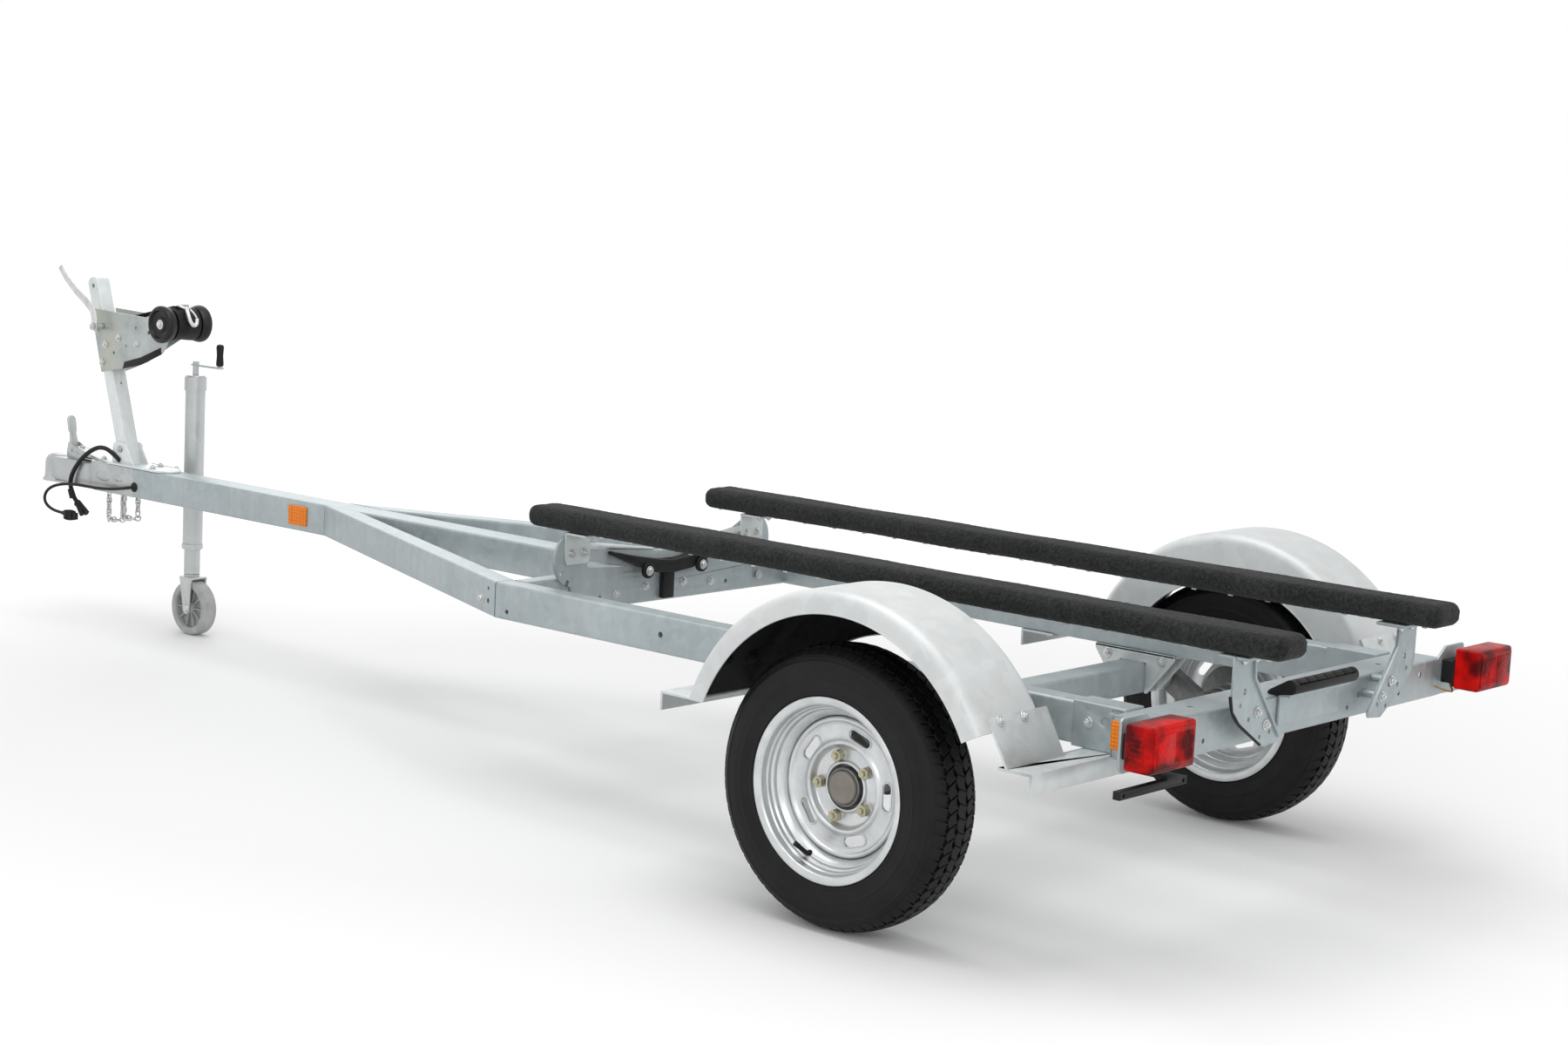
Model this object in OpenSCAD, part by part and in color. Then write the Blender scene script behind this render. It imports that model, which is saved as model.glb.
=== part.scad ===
// Single-axle galvanised boat trailer with carpeted bunks, parked on its swivel jack.
// Built about its axle: x forward to the coupler, y to the left, z up from the ground.

/* [Frame] */
// Distance from the wheel axle to the front end of the tongue tube
tongue_front = 2922; // [2600:1:3300]
// Distance from the wheel axle to the bend where the side rails turn in
bend_x = 1112; // [900:1:1300]
// Distance from the wheel axle to the rear face of the rear cross member
frame_rear = 540; // [480:1:700]
// Distance from the wheel axle to where the angled rails meet the tongue
flare_meet_x = 2160; // [1900:1:2400]
// Half the width over the side rails
rail_out = 458; // [400:1:500]
// Height of the frame's top faces above the ground
frame_top = 450; // [430:1:480]
// Height of every frame tube
tube_h = 76; // [60:1:90]
// Width of a side rail tube
rail_w = 51; // [40:1:60]
// Wall of the frame tubes
tube_wall = 3.2; // [2.5:0.1:5]
// Half the length of the rear cross member
rear_member_half = 503; // [480:1:540]
// Front to back depth of the rear cross member
rear_member_d = 85; // [60:1:100]
// Front to back depth of the front cross member
front_member_d = 46; // [35:1:60]

/* [Wheels] */
// Radius of the tyre tread
tyre_r = 258; // [250:1:275]
// Width of the tyre at its widest
tyre_w = 128; // [110:1:135]
// Gap between a side rail and its tyre
tyre_gap = 122; // [100:1:160]
// Radius of the rim flanges
rim_r = 168; // [160:1:172]
// Radius of the bead seat under the tyre
bead_r = 152.4; // [150:0.1:156]
// Distance between the outer faces of the two rim flanges
rim_w = 124; // [100:1:128]
// Radius of the spindle that the hub turns on
spindle_r = 17; // [14:0.5:20]
// Running clearance of the hub on its spindle
spindle_gap = 0.05; // [0.02:0.01:0.1]
// Bolt circle of the five wheel studs
stud_circle = 114.3; // [100:0.1:120]

/* [Axle] */
// Side of the square torsion axle tube
axle_side = 64; // [50:1:75]
// Distance that the axle tube lies in front of the wheel centre
axle_ahead = 105; // [90:1:140]
// Distance from the frame's underside down to the axle tube's centre
axle_drop = 56; // [45:1:80]

/* [Fenders] */
// Gap between the tyre tread and the fender crown
fender_gap = 106; // [85:1:135]
// Depth of the rolled lip below the crown
fender_lip = 22; // [15:1:30]
// Width of a fender
fender_w = 188; // [170:1:200]
// Sheet thickness of a fender
fender_t = 3; // [2:0.5:4]

/* [Bunks] */
// Length of a bunk
bunk_len = 1843; // [1500:1:2100]
// Width of a bunk with its carpet
bunk_w = 96; // [80:1:110]
// Thickness of a bunk with its carpet
bunk_t = 48; // [40:1:60]
// Height of the bunk tops above the frame's top faces
bunk_rise = 147; // [130:1:200]
// Distance of each bunk's middle from the trailer's centre
bunk_y = 276; // [220:1:330]
// Distance that the bunks stand out behind the axle
bunk_rear = 672; // [600:1:720]

/* [Winch stand] */
// Length of the winch post along its own slope
post_len = 500; // [420:1:600]
// Side of the square winch post tube
post_side = 40; // [35:1:50]
// Forward lean of the winch post in degrees
post_lean = 18; // [0:1:25]
// Length of the bow roller over its two bells
roller_len = 142; // [120:1:170]
// Radius of the bow roller's bells
roller_r = 48; // [40:1:55]
// Radius of the winch drum's strap winding
winding_r = 30; // [20:1:33]

/* [Jack] */
// Distance of the jack tube from the trailer's centre
jack_y = 140; // [136:1:170]
// Outer radius of the jack tube
jack_tube_r = 26; // [22:1:32]
// Radius of the jack wheel
jack_wheel_r = 72; // [60:1:74]
// Width of the jack wheel
jack_wheel_w = 40; // [30:1:42]
// Distance that the jack wheel trails behind its swivel axis
jack_trail = 12; // [0:1:14]
// How far the jack leg is wound out as the trailer is parked
jack_out = 60; // [40:1:100]

/* [Coupler] */
// Radius of the ball socket for a 50.8 mm hitch ball
ball_r = 25.6; // [24:0.1:31]
// Distance from the tongue's front end to the ball's centre
ball_ahead = 378; // [330:1:420]

/* [Hidden] */
$fn = 64;

galvanised = [0.66, 0.70, 0.70];
pale_zinc = [0.80, 0.83, 0.83];
black = [0.09, 0.09, 0.09];
carpet = [0.19, 0.20, 0.19];
tyre_black = [0.10, 0.10, 0.10];
lamp_red = [0.65, 0.04, 0.04];
amber = [0.95, 0.50, 0.05];
grey = [0.62, 0.63, 0.62];

// The ball's centre sets the nose, and the middle of the whole length is the origin.
frame_bottom = frame_top - tube_h;
nose_wall = 17.4;
ball_x = tongue_front + ball_ahead;
nose_x = ball_x + ball_r + nose_wall;
origin_x = (nose_x - bunk_rear) / 2;
tongue_half = tube_h / 2;
cut = 1;

// Side rails and angled rails
rail_in = rail_out - rail_w;
rear_member_front = -frame_rear + rear_member_d;
flare_run = flare_meet_x - bend_x;
flare_rise = rail_out - tongue_half;
flare_turn = atan(flare_rise / flare_run);
flare_in = rail_out - rail_w / cos(flare_turn);
sleeve_front = rear_member_front + 110;
sleeve_t = 3;
front_member_x = bend_x - front_member_d;

// Front bolster plate and its keel pad
bolster_t = 6;
bolster_end_r = 60;
bolster_half = bunk_y + 64;
bolster_mid_z = frame_top + 35;
bolster_x = front_member_x - bolster_t;
bunk_bottom = frame_top + bunk_rise - bunk_t;
bunk_corner_r = 20;
keel_pad_d = 36;
keel_boss_y = 85;
keel_boss_r = 24;
keel_wing_y = 180;
rear_pad_half = 128;
rear_pad_r = 17;
rear_pad_out = 26;

// Brackets under the bunks
front_bracket_half = 37;
front_bracket_leg = 70;
front_bracket_ledge = 60;
front_bracket_t = 5;
rear_bracket_half = 42;
rear_bracket_ledge = 60;
rear_bracket_t = 6;

// Wheel parts, laid out from the middle plane of the wheel outwards
half_track = rail_out + tyre_gap + tyre_w / 2;
rim_t = 4;
disc_t = 5;
hub_flange_r = 72;
hub_flange_t = 10;
hub_barrel_r = 31;
disc_out = 0;
hub_flange_out = disc_out - disc_t;
cap_face = 12;
stud_hole_r = 7;
vent_ring_r = 98;
vent_half = 15;
vent_r = 10;
stud_r = 6;
stud_len = 26;
well_r = 128;
hub_bore_in = -62;
hub_bore_out = 2;

// Axle
axle_half = half_track - 139;
axle_wall = 5;
axle_z = frame_bottom - axle_drop;
arm_t = 26;
arm_h = 48;
arm_in = axle_half + 1;
bracket_t = 6;
bracket_back = 101;
bracket_front = 95;
bracket_foot = 12;

// Fenders: the front end lands on the foot under the rail, the rear end on a sloping leg
arch_x = -30;
fender_z = tyre_r;
fender_r = tyre_r + fender_gap;
fender_out_y = half_track + fender_w / 2;
shoulder_r = 20;
arch_front = asin((frame_bottom + 2.5 - fender_z) / fender_r);
rear_shelf_z = frame_bottom - sleeve_t;
rear_leg_turn = asin((rear_shelf_z + 63.5 - fender_z) / fender_r);
arch_rear = rear_leg_turn - 4;
foot_drop = 36;
foot_t = 5;
foot_len = 82;
foot_back_x = arch_x + fender_r * cos(arch_front) - 4;
foot_front_x = foot_back_x + foot_len;
foot_end_y = fender_out_y - 20;
rear_leg_up = 16;
rear_leg_y = half_track - fender_w / 2 - 10;
rear_leg_end_y = fender_out_y - 33;
rear_leg_touch_z = fender_z + fender_r * sin(rear_leg_turn);
rear_leg_run = (rear_leg_touch_z - rear_shelf_z) * tan(rear_leg_turn);
rear_leg_x = arch_x - fender_r * cos(rear_leg_turn) - rear_leg_run;
rear_leg_down = (rear_leg_touch_z - rear_shelf_z) / cos(rear_leg_turn) + 20;
rear_shelf_x = rear_leg_x + 14;
rear_foot_x = rear_leg_x - 56;

// Lamps
lamp_rear = frame_rear + 87;
lamp_d = 57;
lamp_in_y = rear_member_half;
lamp_w = 135;
lamp_bottom = frame_bottom + 19;
lamp_h = 80;
lamp_r = 8;
housing_inset = 8;
lamp_plate_t = 6;
holder_z = frame_bottom - 8;
holder_x = -frame_rear - 52;
holder_len = 200;
holder_mid_y = rear_member_half + 69;
holder_hole_pitch = 178;
holder_hole_r = 3.5;
holder_side = 14;
reflector_t = 6;

// Winch stand
post_x = tongue_front + 63;
post_wall = 3;
base_t = 6;
base_back = tongue_front - 132;
base_front = tongue_front + 108;
ear_h = 60;
ear_t = 5;
plate_t = 4;
winch_plate_y = post_side / 2 + 16;
// The winch's plates, roller and drum are laid out from this place on the post
winch_up = post_len - 100;
winch_x = post_x + winch_up * sin(post_lean);
winch_z = frame_top + base_t + winch_up * cos(post_lean);
roller_x = winch_x - 324;
roller_z = winch_z;
roller_pin_r = 8;
roller_bore_gap = 0.05;
bell_t = 30;
spool_r = 43;
drum_x = winch_x - 98;
drum_z = winch_z - 36;
drum_axle_r = 10;
handle_x = winch_x - 48;
handle_z = winch_z - 28;
handle_turn = 43;
handle_len = 215;
handle_y = winch_plate_y + 26;
handle_gap = 0.3;
strap_w = 50;
strap_t = 3;
strap_top = roller_z + spool_r + 0.3;
hook_t = 6;
hook_hole_r = 12;

// Jack
jack_x = tongue_front - 22;
jack_pivot_z = frame_top - 40;
jack_tube_top = frame_top + 240;
swivel_play = 1;
yoke_crown = 5;
swivel_plate = 6;
wheel_room = 6;
crown_z = 2 * jack_wheel_r + wheel_room + yoke_crown;
caster_top = crown_z + swivel_plate;
leg_foot = caster_top + swivel_play;
jack_tube_bottom = leg_foot + jack_out + wheel_room;
leg_grip = 250;
jack_tube_wall = 3;
leg_r = 21;
leg_gap = 0.1;
yoke_t = 5;
swivel_r = 8;
swivel_gap = 0.05;
swivel_len = 38;
jack_pin_r = 8;
jack_pin_gap = 0.05;
pivot_r = 15;

// Coupler
coupler_wall = 5;
socket_depth = 46;
coupler_bottom = frame_bottom;
channel_end = tongue_front + 190;
neck_back = ball_x - 70;
neck_top = frame_top - 8;
chain_r = 9;
chain_y = tongue_half - coupler_wall - chain_r;
chain_drop = 70;
chain_pitch = 60;

// Shapes below are drawn about the axle and moved so that the origin is under the middle.
module place() {
    translate([-origin_x, 0, 0]) children();
}

module left_and_right() {
    children();
    mirror([0, 1, 0]) children();
}

// A box from its two corners
module block(low, high) {
    translate(low) cube(high - low);
}

// A square tube along x
module tube_x(x0, x1, y0, y1, z0, z1, wall) {
    difference() {
        block([x0, y0, z0], [x1, y1, z1]);
        block([x0 - cut, y0 + wall, z0 + wall], [x1 + cut, y1 - wall, z1 - wall]);
    }
}

// A square tube along y
module tube_y(y0, y1, x0, x1, z0, z1, wall) {
    difference() {
        block([x0, y0, z0], [x1, y1, z1]);
        block([x0 + wall, y0 - cut, z0 + wall], [x1 - wall, y1 + cut, z1 - wall]);
    }
}

// A round bar along y between two places
module rod_y(x, z, y0, y1, r) {
    translate([x, y0, z]) rotate([-90, 0, 0]) cylinder(r = r, h = y1 - y0);
}

// A round bar along x
module rod_x(y, z, x0, x1, r) {
    translate([x0, y, z]) rotate([0, 90, 0]) cylinder(r = r, h = x1 - x0);
}

// A plate with its outline in x and z, standing from y0 to y1
module plate_xz(points, y0, y1) {
    translate([0, y1, 0]) rotate([90, 0, 0]) linear_extrude(y1 - y0) polygon(points);
}

// A plate with its outline in y and z, standing from x0 to x1
module plate_yz(points, x0, x1) {
    translate([x0, 0, 0]) rotate([90, 0, 90]) linear_extrude(x1 - x0) polygon(points);
}

// A rectangle with round corners
module round_rect(size, r) {
    translate([r, 0]) square([size[0] - 2 * r, size[1]]);
    translate([0, r]) square([size[0], size[1] - 2 * r]);
    for (x = [r, size[0] - r], y = [r, size[1] - r]) translate([x, y]) circle(r);
}

module tongue() {
    color(galvanised) place()
        tube_x(bend_x, tongue_front, -tongue_half, tongue_half, frame_bottom, frame_top, tube_wall);
}

module rail() {
    tube_x(rear_member_front, bend_x, rail_in, rail_out, frame_bottom, frame_top, tube_wall);
}

module left_rail() {
    color(galvanised) place() rail();
}

module right_rail() {
    color(galvanised) place() mirror([0, 1, 0]) rail();
}

// The angled rail's plan between two lines that run parallel to its outer face
module flare_plan(out_y, in_y) {
    reach = (out_y - tongue_half) / tan(flare_turn);
    in_reach = (in_y - tongue_half) / tan(flare_turn);
    polygon([
        [bend_x, out_y],
        [bend_x, in_y],
        [bend_x + in_reach, tongue_half],
        [bend_x + reach, tongue_half]
    ]);
}

module drawbar() {
    side_wall = tube_wall / cos(flare_turn);
    translate([0, 0, frame_bottom]) difference() {
        linear_extrude(tube_h) flare_plan(rail_out, flare_in);
        translate([0, 0, tube_wall]) linear_extrude(tube_h - 2 * tube_wall)
            flare_plan(rail_out - side_wall, flare_in + side_wall);
    }
}

module left_drawbar() {
    color(galvanised) place() drawbar();
}

module right_drawbar() {
    color(galvanised) place() mirror([0, 1, 0]) drawbar();
}

// Sleeves that the side rails slide into at the rear cross member
module rail_sleeves() {
    color(galvanised) place() left_and_right() difference() {
        block([rear_member_front, rail_in - sleeve_t, frame_bottom - sleeve_t],
              [sleeve_front, rail_out + sleeve_t, frame_top + sleeve_t]);
        block([rear_member_front - cut, rail_in, frame_bottom],
              [sleeve_front + cut, rail_out, frame_top]);
    }
}

// Tube with a lamp plate welded to its rear face and a reflector tab in each end
module rear_cross_member() {
    rear = -frame_rear;
    plate_in = rear_member_half - 23;
    plate_out = lamp_in_y + 97;
    plate_top = lamp_bottom + lamp_h - 3;
    color(galvanised) place() {
        tube_y(-rear_member_half, rear_member_half, rear, rear_member_front,
               frame_bottom, frame_top, tube_wall);
        left_and_right() {
            plate_yz([
                [plate_in, frame_bottom], [plate_out - 10, frame_bottom],
                [plate_out, frame_bottom + 10], [plate_out, plate_top],
                [rear_member_half + 20, plate_top], [plate_in, frame_top]
            ], rear, rear + lamp_plate_t);
            block([rear_member_front - 42, rear_member_half - 3, frame_bottom],
                  [rear_member_front, rear_member_half, frame_top]);
        }
    }
}

module front_cross_member() {
    color(galvanised) place()
        tube_y(-rail_in, rail_in, front_member_x, bend_x, frame_bottom, frame_top, tube_wall);
}

// Upright plate behind the front cross member, low at its middle, with pressed ribs
module front_bolster() {
    end_mid = bunk_bottom - bolster_end_r;
    color(galvanised) place() {
        plate_yz([
            [-bolster_half + bolster_end_r, bunk_bottom],
            [-bolster_half + bolster_end_r, frame_bottom + 16],
            [0, frame_bottom + 6],
            [bolster_half - bolster_end_r, frame_bottom + 16],
            [bolster_half - bolster_end_r, bunk_bottom],
            [keel_boss_y + 60, bolster_mid_z + 16],
            [0, bolster_mid_z],
            [-keel_boss_y - 60, bolster_mid_z + 16]
        ], bolster_x, front_member_x);
        left_and_right() translate([bolster_x, bolster_half - bolster_end_r, end_mid])
            rotate([0, 90, 0]) cylinder(r = bolster_end_r, h = bolster_t);
    }
}

// Rubber keel block on two bosses, with a strap that runs down the bolster
module front_keel_pad() {
    z = frame_top;
    back = bolster_x - keel_pad_d;
    color(black) place() {
        plate_yz([
            [-keel_wing_y, z + 40],
            [-keel_boss_y, z + 2],
            [0, z - 4],
            [keel_boss_y, z + 2],
            [keel_wing_y, z + 40],
            [keel_wing_y, z + 50],
            [0, z + 16],
            [-keel_wing_y, z + 50]
        ], back, bolster_x);
        left_and_right() translate([back, keel_boss_y, z])
            rotate([0, 90, 0]) cylinder(r = keel_boss_r, h = keel_pad_d);
        block([bolster_x - 12, -17, frame_bottom + 8], [bolster_x, 17, z]);
    }
}

// Rubber block over the top rear edge of the rear cross member
module rear_keel_pad() {
    back = -frame_rear - rear_pad_out;
    end = rear_pad_half - 20;
    color(black) place() {
        translate([back, 0, frame_top + 12]) {
            rod_y(0, 0, -rear_pad_half, rear_pad_half, rear_pad_r);
            block([0, -rear_pad_half, -12], [44, rear_pad_half, rear_pad_r - 2]);
        }
        block([back, -end, frame_top - 26], [-frame_rear, end, frame_top + 10]);
    }
}

module bunk() {
    translate([-bunk_rear, bunk_y - bunk_w / 2, bunk_bottom])
        linear_extrude(bunk_t) round_rect([bunk_len, bunk_w], bunk_corner_r);
}

module left_bunk() {
    color(carpet) place() bunk();
}

module right_bunk() {
    color(carpet) place() mirror([0, 1, 0]) bunk();
}

// Short angles that carry the bunks on the bolster's ends
module front_bunk_brackets() {
    y0 = bunk_y - front_bracket_half;
    y1 = bunk_y + front_bracket_half;
    top = bunk_bottom;
    color(pale_zinc) place() left_and_right() {
        block([bolster_x - front_bracket_t, y0, top - front_bracket_leg], [bolster_x, y1, top]);
        block([bolster_x - front_bracket_ledge, y0, top - front_bracket_t], [bolster_x, y1, top]);
    }
}

// Leaning plates on the rear cross member's rear face, with a ledge under each bunk
module rear_bunk_brackets() {
    y0 = bunk_y - rear_bracket_half;
    y1 = bunk_y + rear_bracket_half;
    top = bunk_bottom;
    x1 = -frame_rear;
    color(pale_zinc) place() left_and_right() {
        plate_yz([
            [y0, top],
            [bunk_y - 80, frame_bottom - 14],
            [bunk_y - 40, frame_bottom - 18],
            [bunk_y + 34, frame_top],
            [y1, top]
        ], x1 - rear_bracket_t, x1);
        block([x1 - rear_bracket_ledge, y0, top - rear_bracket_t], [x1, y1, top]);
    }
}

module axle_tube() {
    h = axle_side / 2;
    color(galvanised) place()
        tube_y(-axle_half, axle_half, axle_ahead - h, axle_ahead + h,
               axle_z - h, axle_z + h, axle_wall);
}

// Two side plates and a top plate that hang the axle tube under each rail
module axle_brackets() {
    h = axle_side / 2;
    top = frame_bottom;
    back = axle_ahead - bracket_back;
    front = axle_ahead + bracket_front;
    color(pale_zinc) place() left_and_right() difference() {
        union() {
            for (y = [rail_in, rail_out - bracket_t])
                plate_xz([
                    [back, top],
                    [axle_ahead - h - bracket_foot, axle_z - h],
                    [axle_ahead + h + bracket_foot, axle_z - h],
                    [front, top]
                ], y, y + bracket_t);
            block([back, rail_in, top - bracket_t], [front, rail_out, top]);
        }
        block([axle_ahead - h, rail_in - cut, axle_z - h - cut],
              [axle_ahead + h, rail_out + cut, axle_z + h]);
    }
}

// Trailing arm of the torsion axle with the wheel spindle
module torsion_arm() {
    drop = axle_z - tyre_r;
    arm_len = sqrt(axle_ahead * axle_ahead + drop * drop);
    arm_turn = atan(drop / axle_ahead);
    collar_end = half_track + hub_bore_in - 6;
    spindle_end = half_track + hub_bore_out - 2;
    arm_out = arm_in + arm_t;
    rod_y(axle_ahead, axle_z, axle_half, arm_out + 2, 29);
    rod_y(0, tyre_r, arm_in - 2, arm_out + 3, 31);
    translate([0, arm_in, tyre_r]) rotate([0, -arm_turn, 0])
        translate([0, 0, -arm_h / 2]) cube([arm_len, arm_t, arm_h]);
    rod_y(0, tyre_r, arm_out - 5, collar_end, 25);
    rod_y(0, tyre_r, arm_out - 10, spindle_end, spindle_r);
}

module left_torsion_arm() {
    color(galvanised) place() torsion_arm();
}

module right_torsion_arm() {
    color(galvanised) place() mirror([0, 1, 0]) torsion_arm();
}

// Turns a profile drawn as radius and distance outwards about the wheel's axle
module turned_wheel_part() {
    translate([0, half_track, tyre_r]) rotate([-90, 0, 0]) children();
}

module hub() {
    turned_wheel_part() difference() {
        union() {
            translate([0, 0, hub_bore_in]) cylinder(r = hub_barrel_r, h = cap_face - hub_bore_in);
            translate([0, 0, hub_flange_out - hub_flange_t]) cylinder(r = hub_flange_r, h = hub_flange_t);
            for (i = [0:4]) rotate([0, 0, 72 * i]) translate([stud_circle / 2, 0, hub_flange_out])
                cylinder(r = stud_r, h = stud_len);
        }
        translate([0, 0, hub_bore_in - cut])
            cylinder(r = spindle_r + spindle_gap, h = hub_bore_out - hub_bore_in + cut);
    }
}

module left_hub() {
    color(galvanised) place() hub();
}

module right_hub() {
    color(galvanised) place() mirror([0, 1, 0]) hub();
}

// Drop-centre rim welded to a dished disc with five vents
module rim() {
    w = rim_w / 2;
    t = rim_t;
    turned_wheel_part() difference() {
        union() {
            rotate_extrude($fn = 96) polygon([
                [rim_r, -w], [rim_r, -w + t], [bead_r + t, -w + t], [bead_r, -w + 26],
                [well_r + 2, -w + 34], [well_r + 2, 6], [bead_r, 24],
                [bead_r + t, w - t], [rim_r, w - t], [rim_r, w],
                [bead_r, w], [bead_r - t, w - t], [bead_r - t, 24],
                [well_r - t, 6], [well_r - t, -w + 34], [bead_r - t, -w + 26],
                [bead_r - t, -w + t], [bead_r, -w]
            ]);
            rotate_extrude($fn = 96) polygon([
                [hub_barrel_r + 7, disc_out - disc_t], [76, disc_out - disc_t], [84, 3], [108, 3],
                [118, 10], [well_r - 1, 1], [well_r - 1, 8], [118, 16], [106, 9], [82, 9],
                [74, disc_out], [hub_barrel_r + 7, disc_out]
            ]);
        }
        for (i = [0:4]) {
            rotate([0, 0, 72 * i]) translate([stud_circle / 2, 0, -20])
                cylinder(r = stud_hole_r, h = 40);
            rotate([0, 0, 72 * i + 36]) translate([vent_ring_r, 0, -20]) vent();
        }
    }
}

// A round-ended vent slot
module vent() {
    depth = 60;
    for (y = [-vent_half, vent_half]) translate([0, y, 0]) cylinder(r = vent_r, h = depth);
    translate([-vent_r, -vent_half, 0]) cube([2 * vent_r, 2 * vent_half, depth]);
}

module left_rim() {
    color(pale_zinc) place() rim();
}

module right_rim() {
    color(pale_zinc) place() mirror([0, 1, 0]) rim();
}

// Tyre carcass seated on the rim's beads
module tyre() {
    w = tyre_w / 2;
    bead = rim_w / 2 - rim_t;
    seat_r = bead_r + rim_t;
    wall_h = tyre_r - rim_r;
    low_r = rim_r + 0.24 * wall_h;
    wide_r = rim_r + 0.49 * wall_h;
    high_r = tyre_r - 0.29 * wall_h;
    shoulder = tyre_r - 0.133 * wall_h;
    crown = tyre_r - 0.045 * wall_h;
    inside = tyre_r - 0.2 * wall_h;
    turned_wheel_part() rotate_extrude($fn = 96) polygon([
        [seat_r, -bead], [rim_r + 1, -bead], [rim_r + 3, -bead - 3], [low_r, -w + 1],
        [wide_r, -w], [high_r, -w + 4], [shoulder, -w + 14], [crown, -w + 28], [tyre_r, -12],
        [tyre_r, 12], [crown, w - 28], [shoulder, w - 14], [high_r, w - 4],
        [wide_r, w], [low_r, w - 1], [rim_r + 3, bead + 3], [rim_r + 1, bead], [seat_r, bead],
        [seat_r + 8, bead - 8], [inside, bead - 10], [inside, -bead + 10], [seat_r + 8, -bead + 8]
    ]);
}

module left_tyre() {
    color(tyre_black) place() tyre();
}

module right_tyre() {
    color(tyre_black) place() mirror([0, 1, 0]) tyre();
}

// Section of the fender sheet: radius from the arch centre, distance across the tyre
module fender_section(t) {
    r = fender_r - t;
    w = fender_w / 2 - t;
    s = shoulder_r - t;
    translate([r - s, -w + s]) intersection() {
        circle(s);
        translate([0, -s]) square(s);
    }
    translate([r - s, w - s]) intersection() {
        circle(s);
        square(s);
    }
    translate([r - s, -w + s]) square([s, 2 * w - 2 * s]);
    translate([fender_r - fender_lip - cut * t, -w]) square([fender_lip - t - s + cut * t, 2 * w]);
}

module fender() {
    sweep_turn = 180 - arch_front - arch_rear;
    translate([arch_x, half_track, fender_z]) rotate([-90, 0, 0])
        rotate([0, 0, -180 + arch_rear]) rotate_extrude(angle = sweep_turn, $fn = 128)
            difference() {
                fender_section(0);
                fender_section(fender_t);
            }
}

module left_fender() {
    color(pale_zinc) place() fender();
}

module right_fender() {
    color(pale_zinc) place() mirror([0, 1, 0]) fender();
}

// Angle bar under the rail that the fender's front foot stands on
module front_fender_brackets() {
    top = frame_bottom;
    color(pale_zinc) place() left_and_right() {
        block([foot_back_x, rail_in, top - foot_t], [foot_front_x, foot_end_y, top]);
        block([foot_front_x - foot_t, rail_in, top - foot_drop], [foot_front_x, foot_end_y, top]);
    }
}

// Stepped bracket under the rail: a lip at the rear, a shelf, and a leg up to the fender
module rear_fender_brackets() {
    top = rear_shelf_z;
    out = rear_leg_end_y;
    color(pale_zinc) place() left_and_right() {
        block([rear_foot_x, rail_in, top - foot_t], [rear_shelf_x, out, top]);
        block([rear_foot_x, rail_in, top - foot_drop], [rear_foot_x + foot_t, out, top]);
        difference() {
            translate([arch_x, 0, fender_z]) rotate([0, rear_leg_turn, 0])
                block([-fender_r - foot_t, rear_leg_y, -rear_leg_down], [-fender_r, out, rear_leg_up]);
            block([rear_foot_x, 0, 0], [0, fender_out_y, top - foot_t]);
        }
    }
}

module tail_light() {
    translate([-lamp_rear, lamp_in_y, lamp_bottom]) rotate([90, 0, 90])
        linear_extrude(lamp_d) round_rect([lamp_w, lamp_h], lamp_r);
}

module left_tail_light() {
    color(lamp_red) place() tail_light();
}

module right_tail_light() {
    color(lamp_red) place() mirror([0, 1, 0]) tail_light();
}

// Lamp backs bolted to the ends of the rear cross member
module tail_light_housings() {
    color(black) place() left_and_right()
        block([-lamp_rear + lamp_d, lamp_in_y + housing_inset, lamp_bottom + housing_inset],
              [-frame_rear, lamp_in_y + lamp_w - housing_inset, lamp_bottom + lamp_h - housing_inset - 20]);
}

// Bar for a blank number plate under the left lamp
module plate_holder() {
    y0 = holder_mid_y - holder_len / 2;
    color(black) place() difference() {
        union() {
            block([holder_x, y0, holder_z - holder_side],
                  [holder_x + holder_side, y0 + holder_len, holder_z]);
            block([holder_x, y0 + 20, holder_z], [-frame_rear, y0 + 60, holder_z + 5]);
            block([-frame_rear - 5, y0 + 20, holder_z], [-frame_rear, y0 + 60, frame_bottom + 20]);
        }
        for (y = [-1, 1]) rod_x(holder_mid_y + y * holder_hole_pitch / 2,
                                holder_z - holder_side / 2, holder_x - cut,
                                holder_x + holder_side + cut, holder_hole_r);
    }
}

// Amber reflectors on the tongue's sides and on the ends of the rear cross member
module side_reflectors() {
    color(amber) place() left_and_right() {
        block([flare_meet_x + 62, tongue_half, frame_bottom + 14],
              [flare_meet_x + 128, tongue_half + reflector_t, frame_top - 14]);
        block([rear_member_front - 36, rear_member_half, frame_bottom + 17],
              [rear_member_front - 2, rear_member_half + reflector_t, frame_top - 9]);
    }
}

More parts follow.
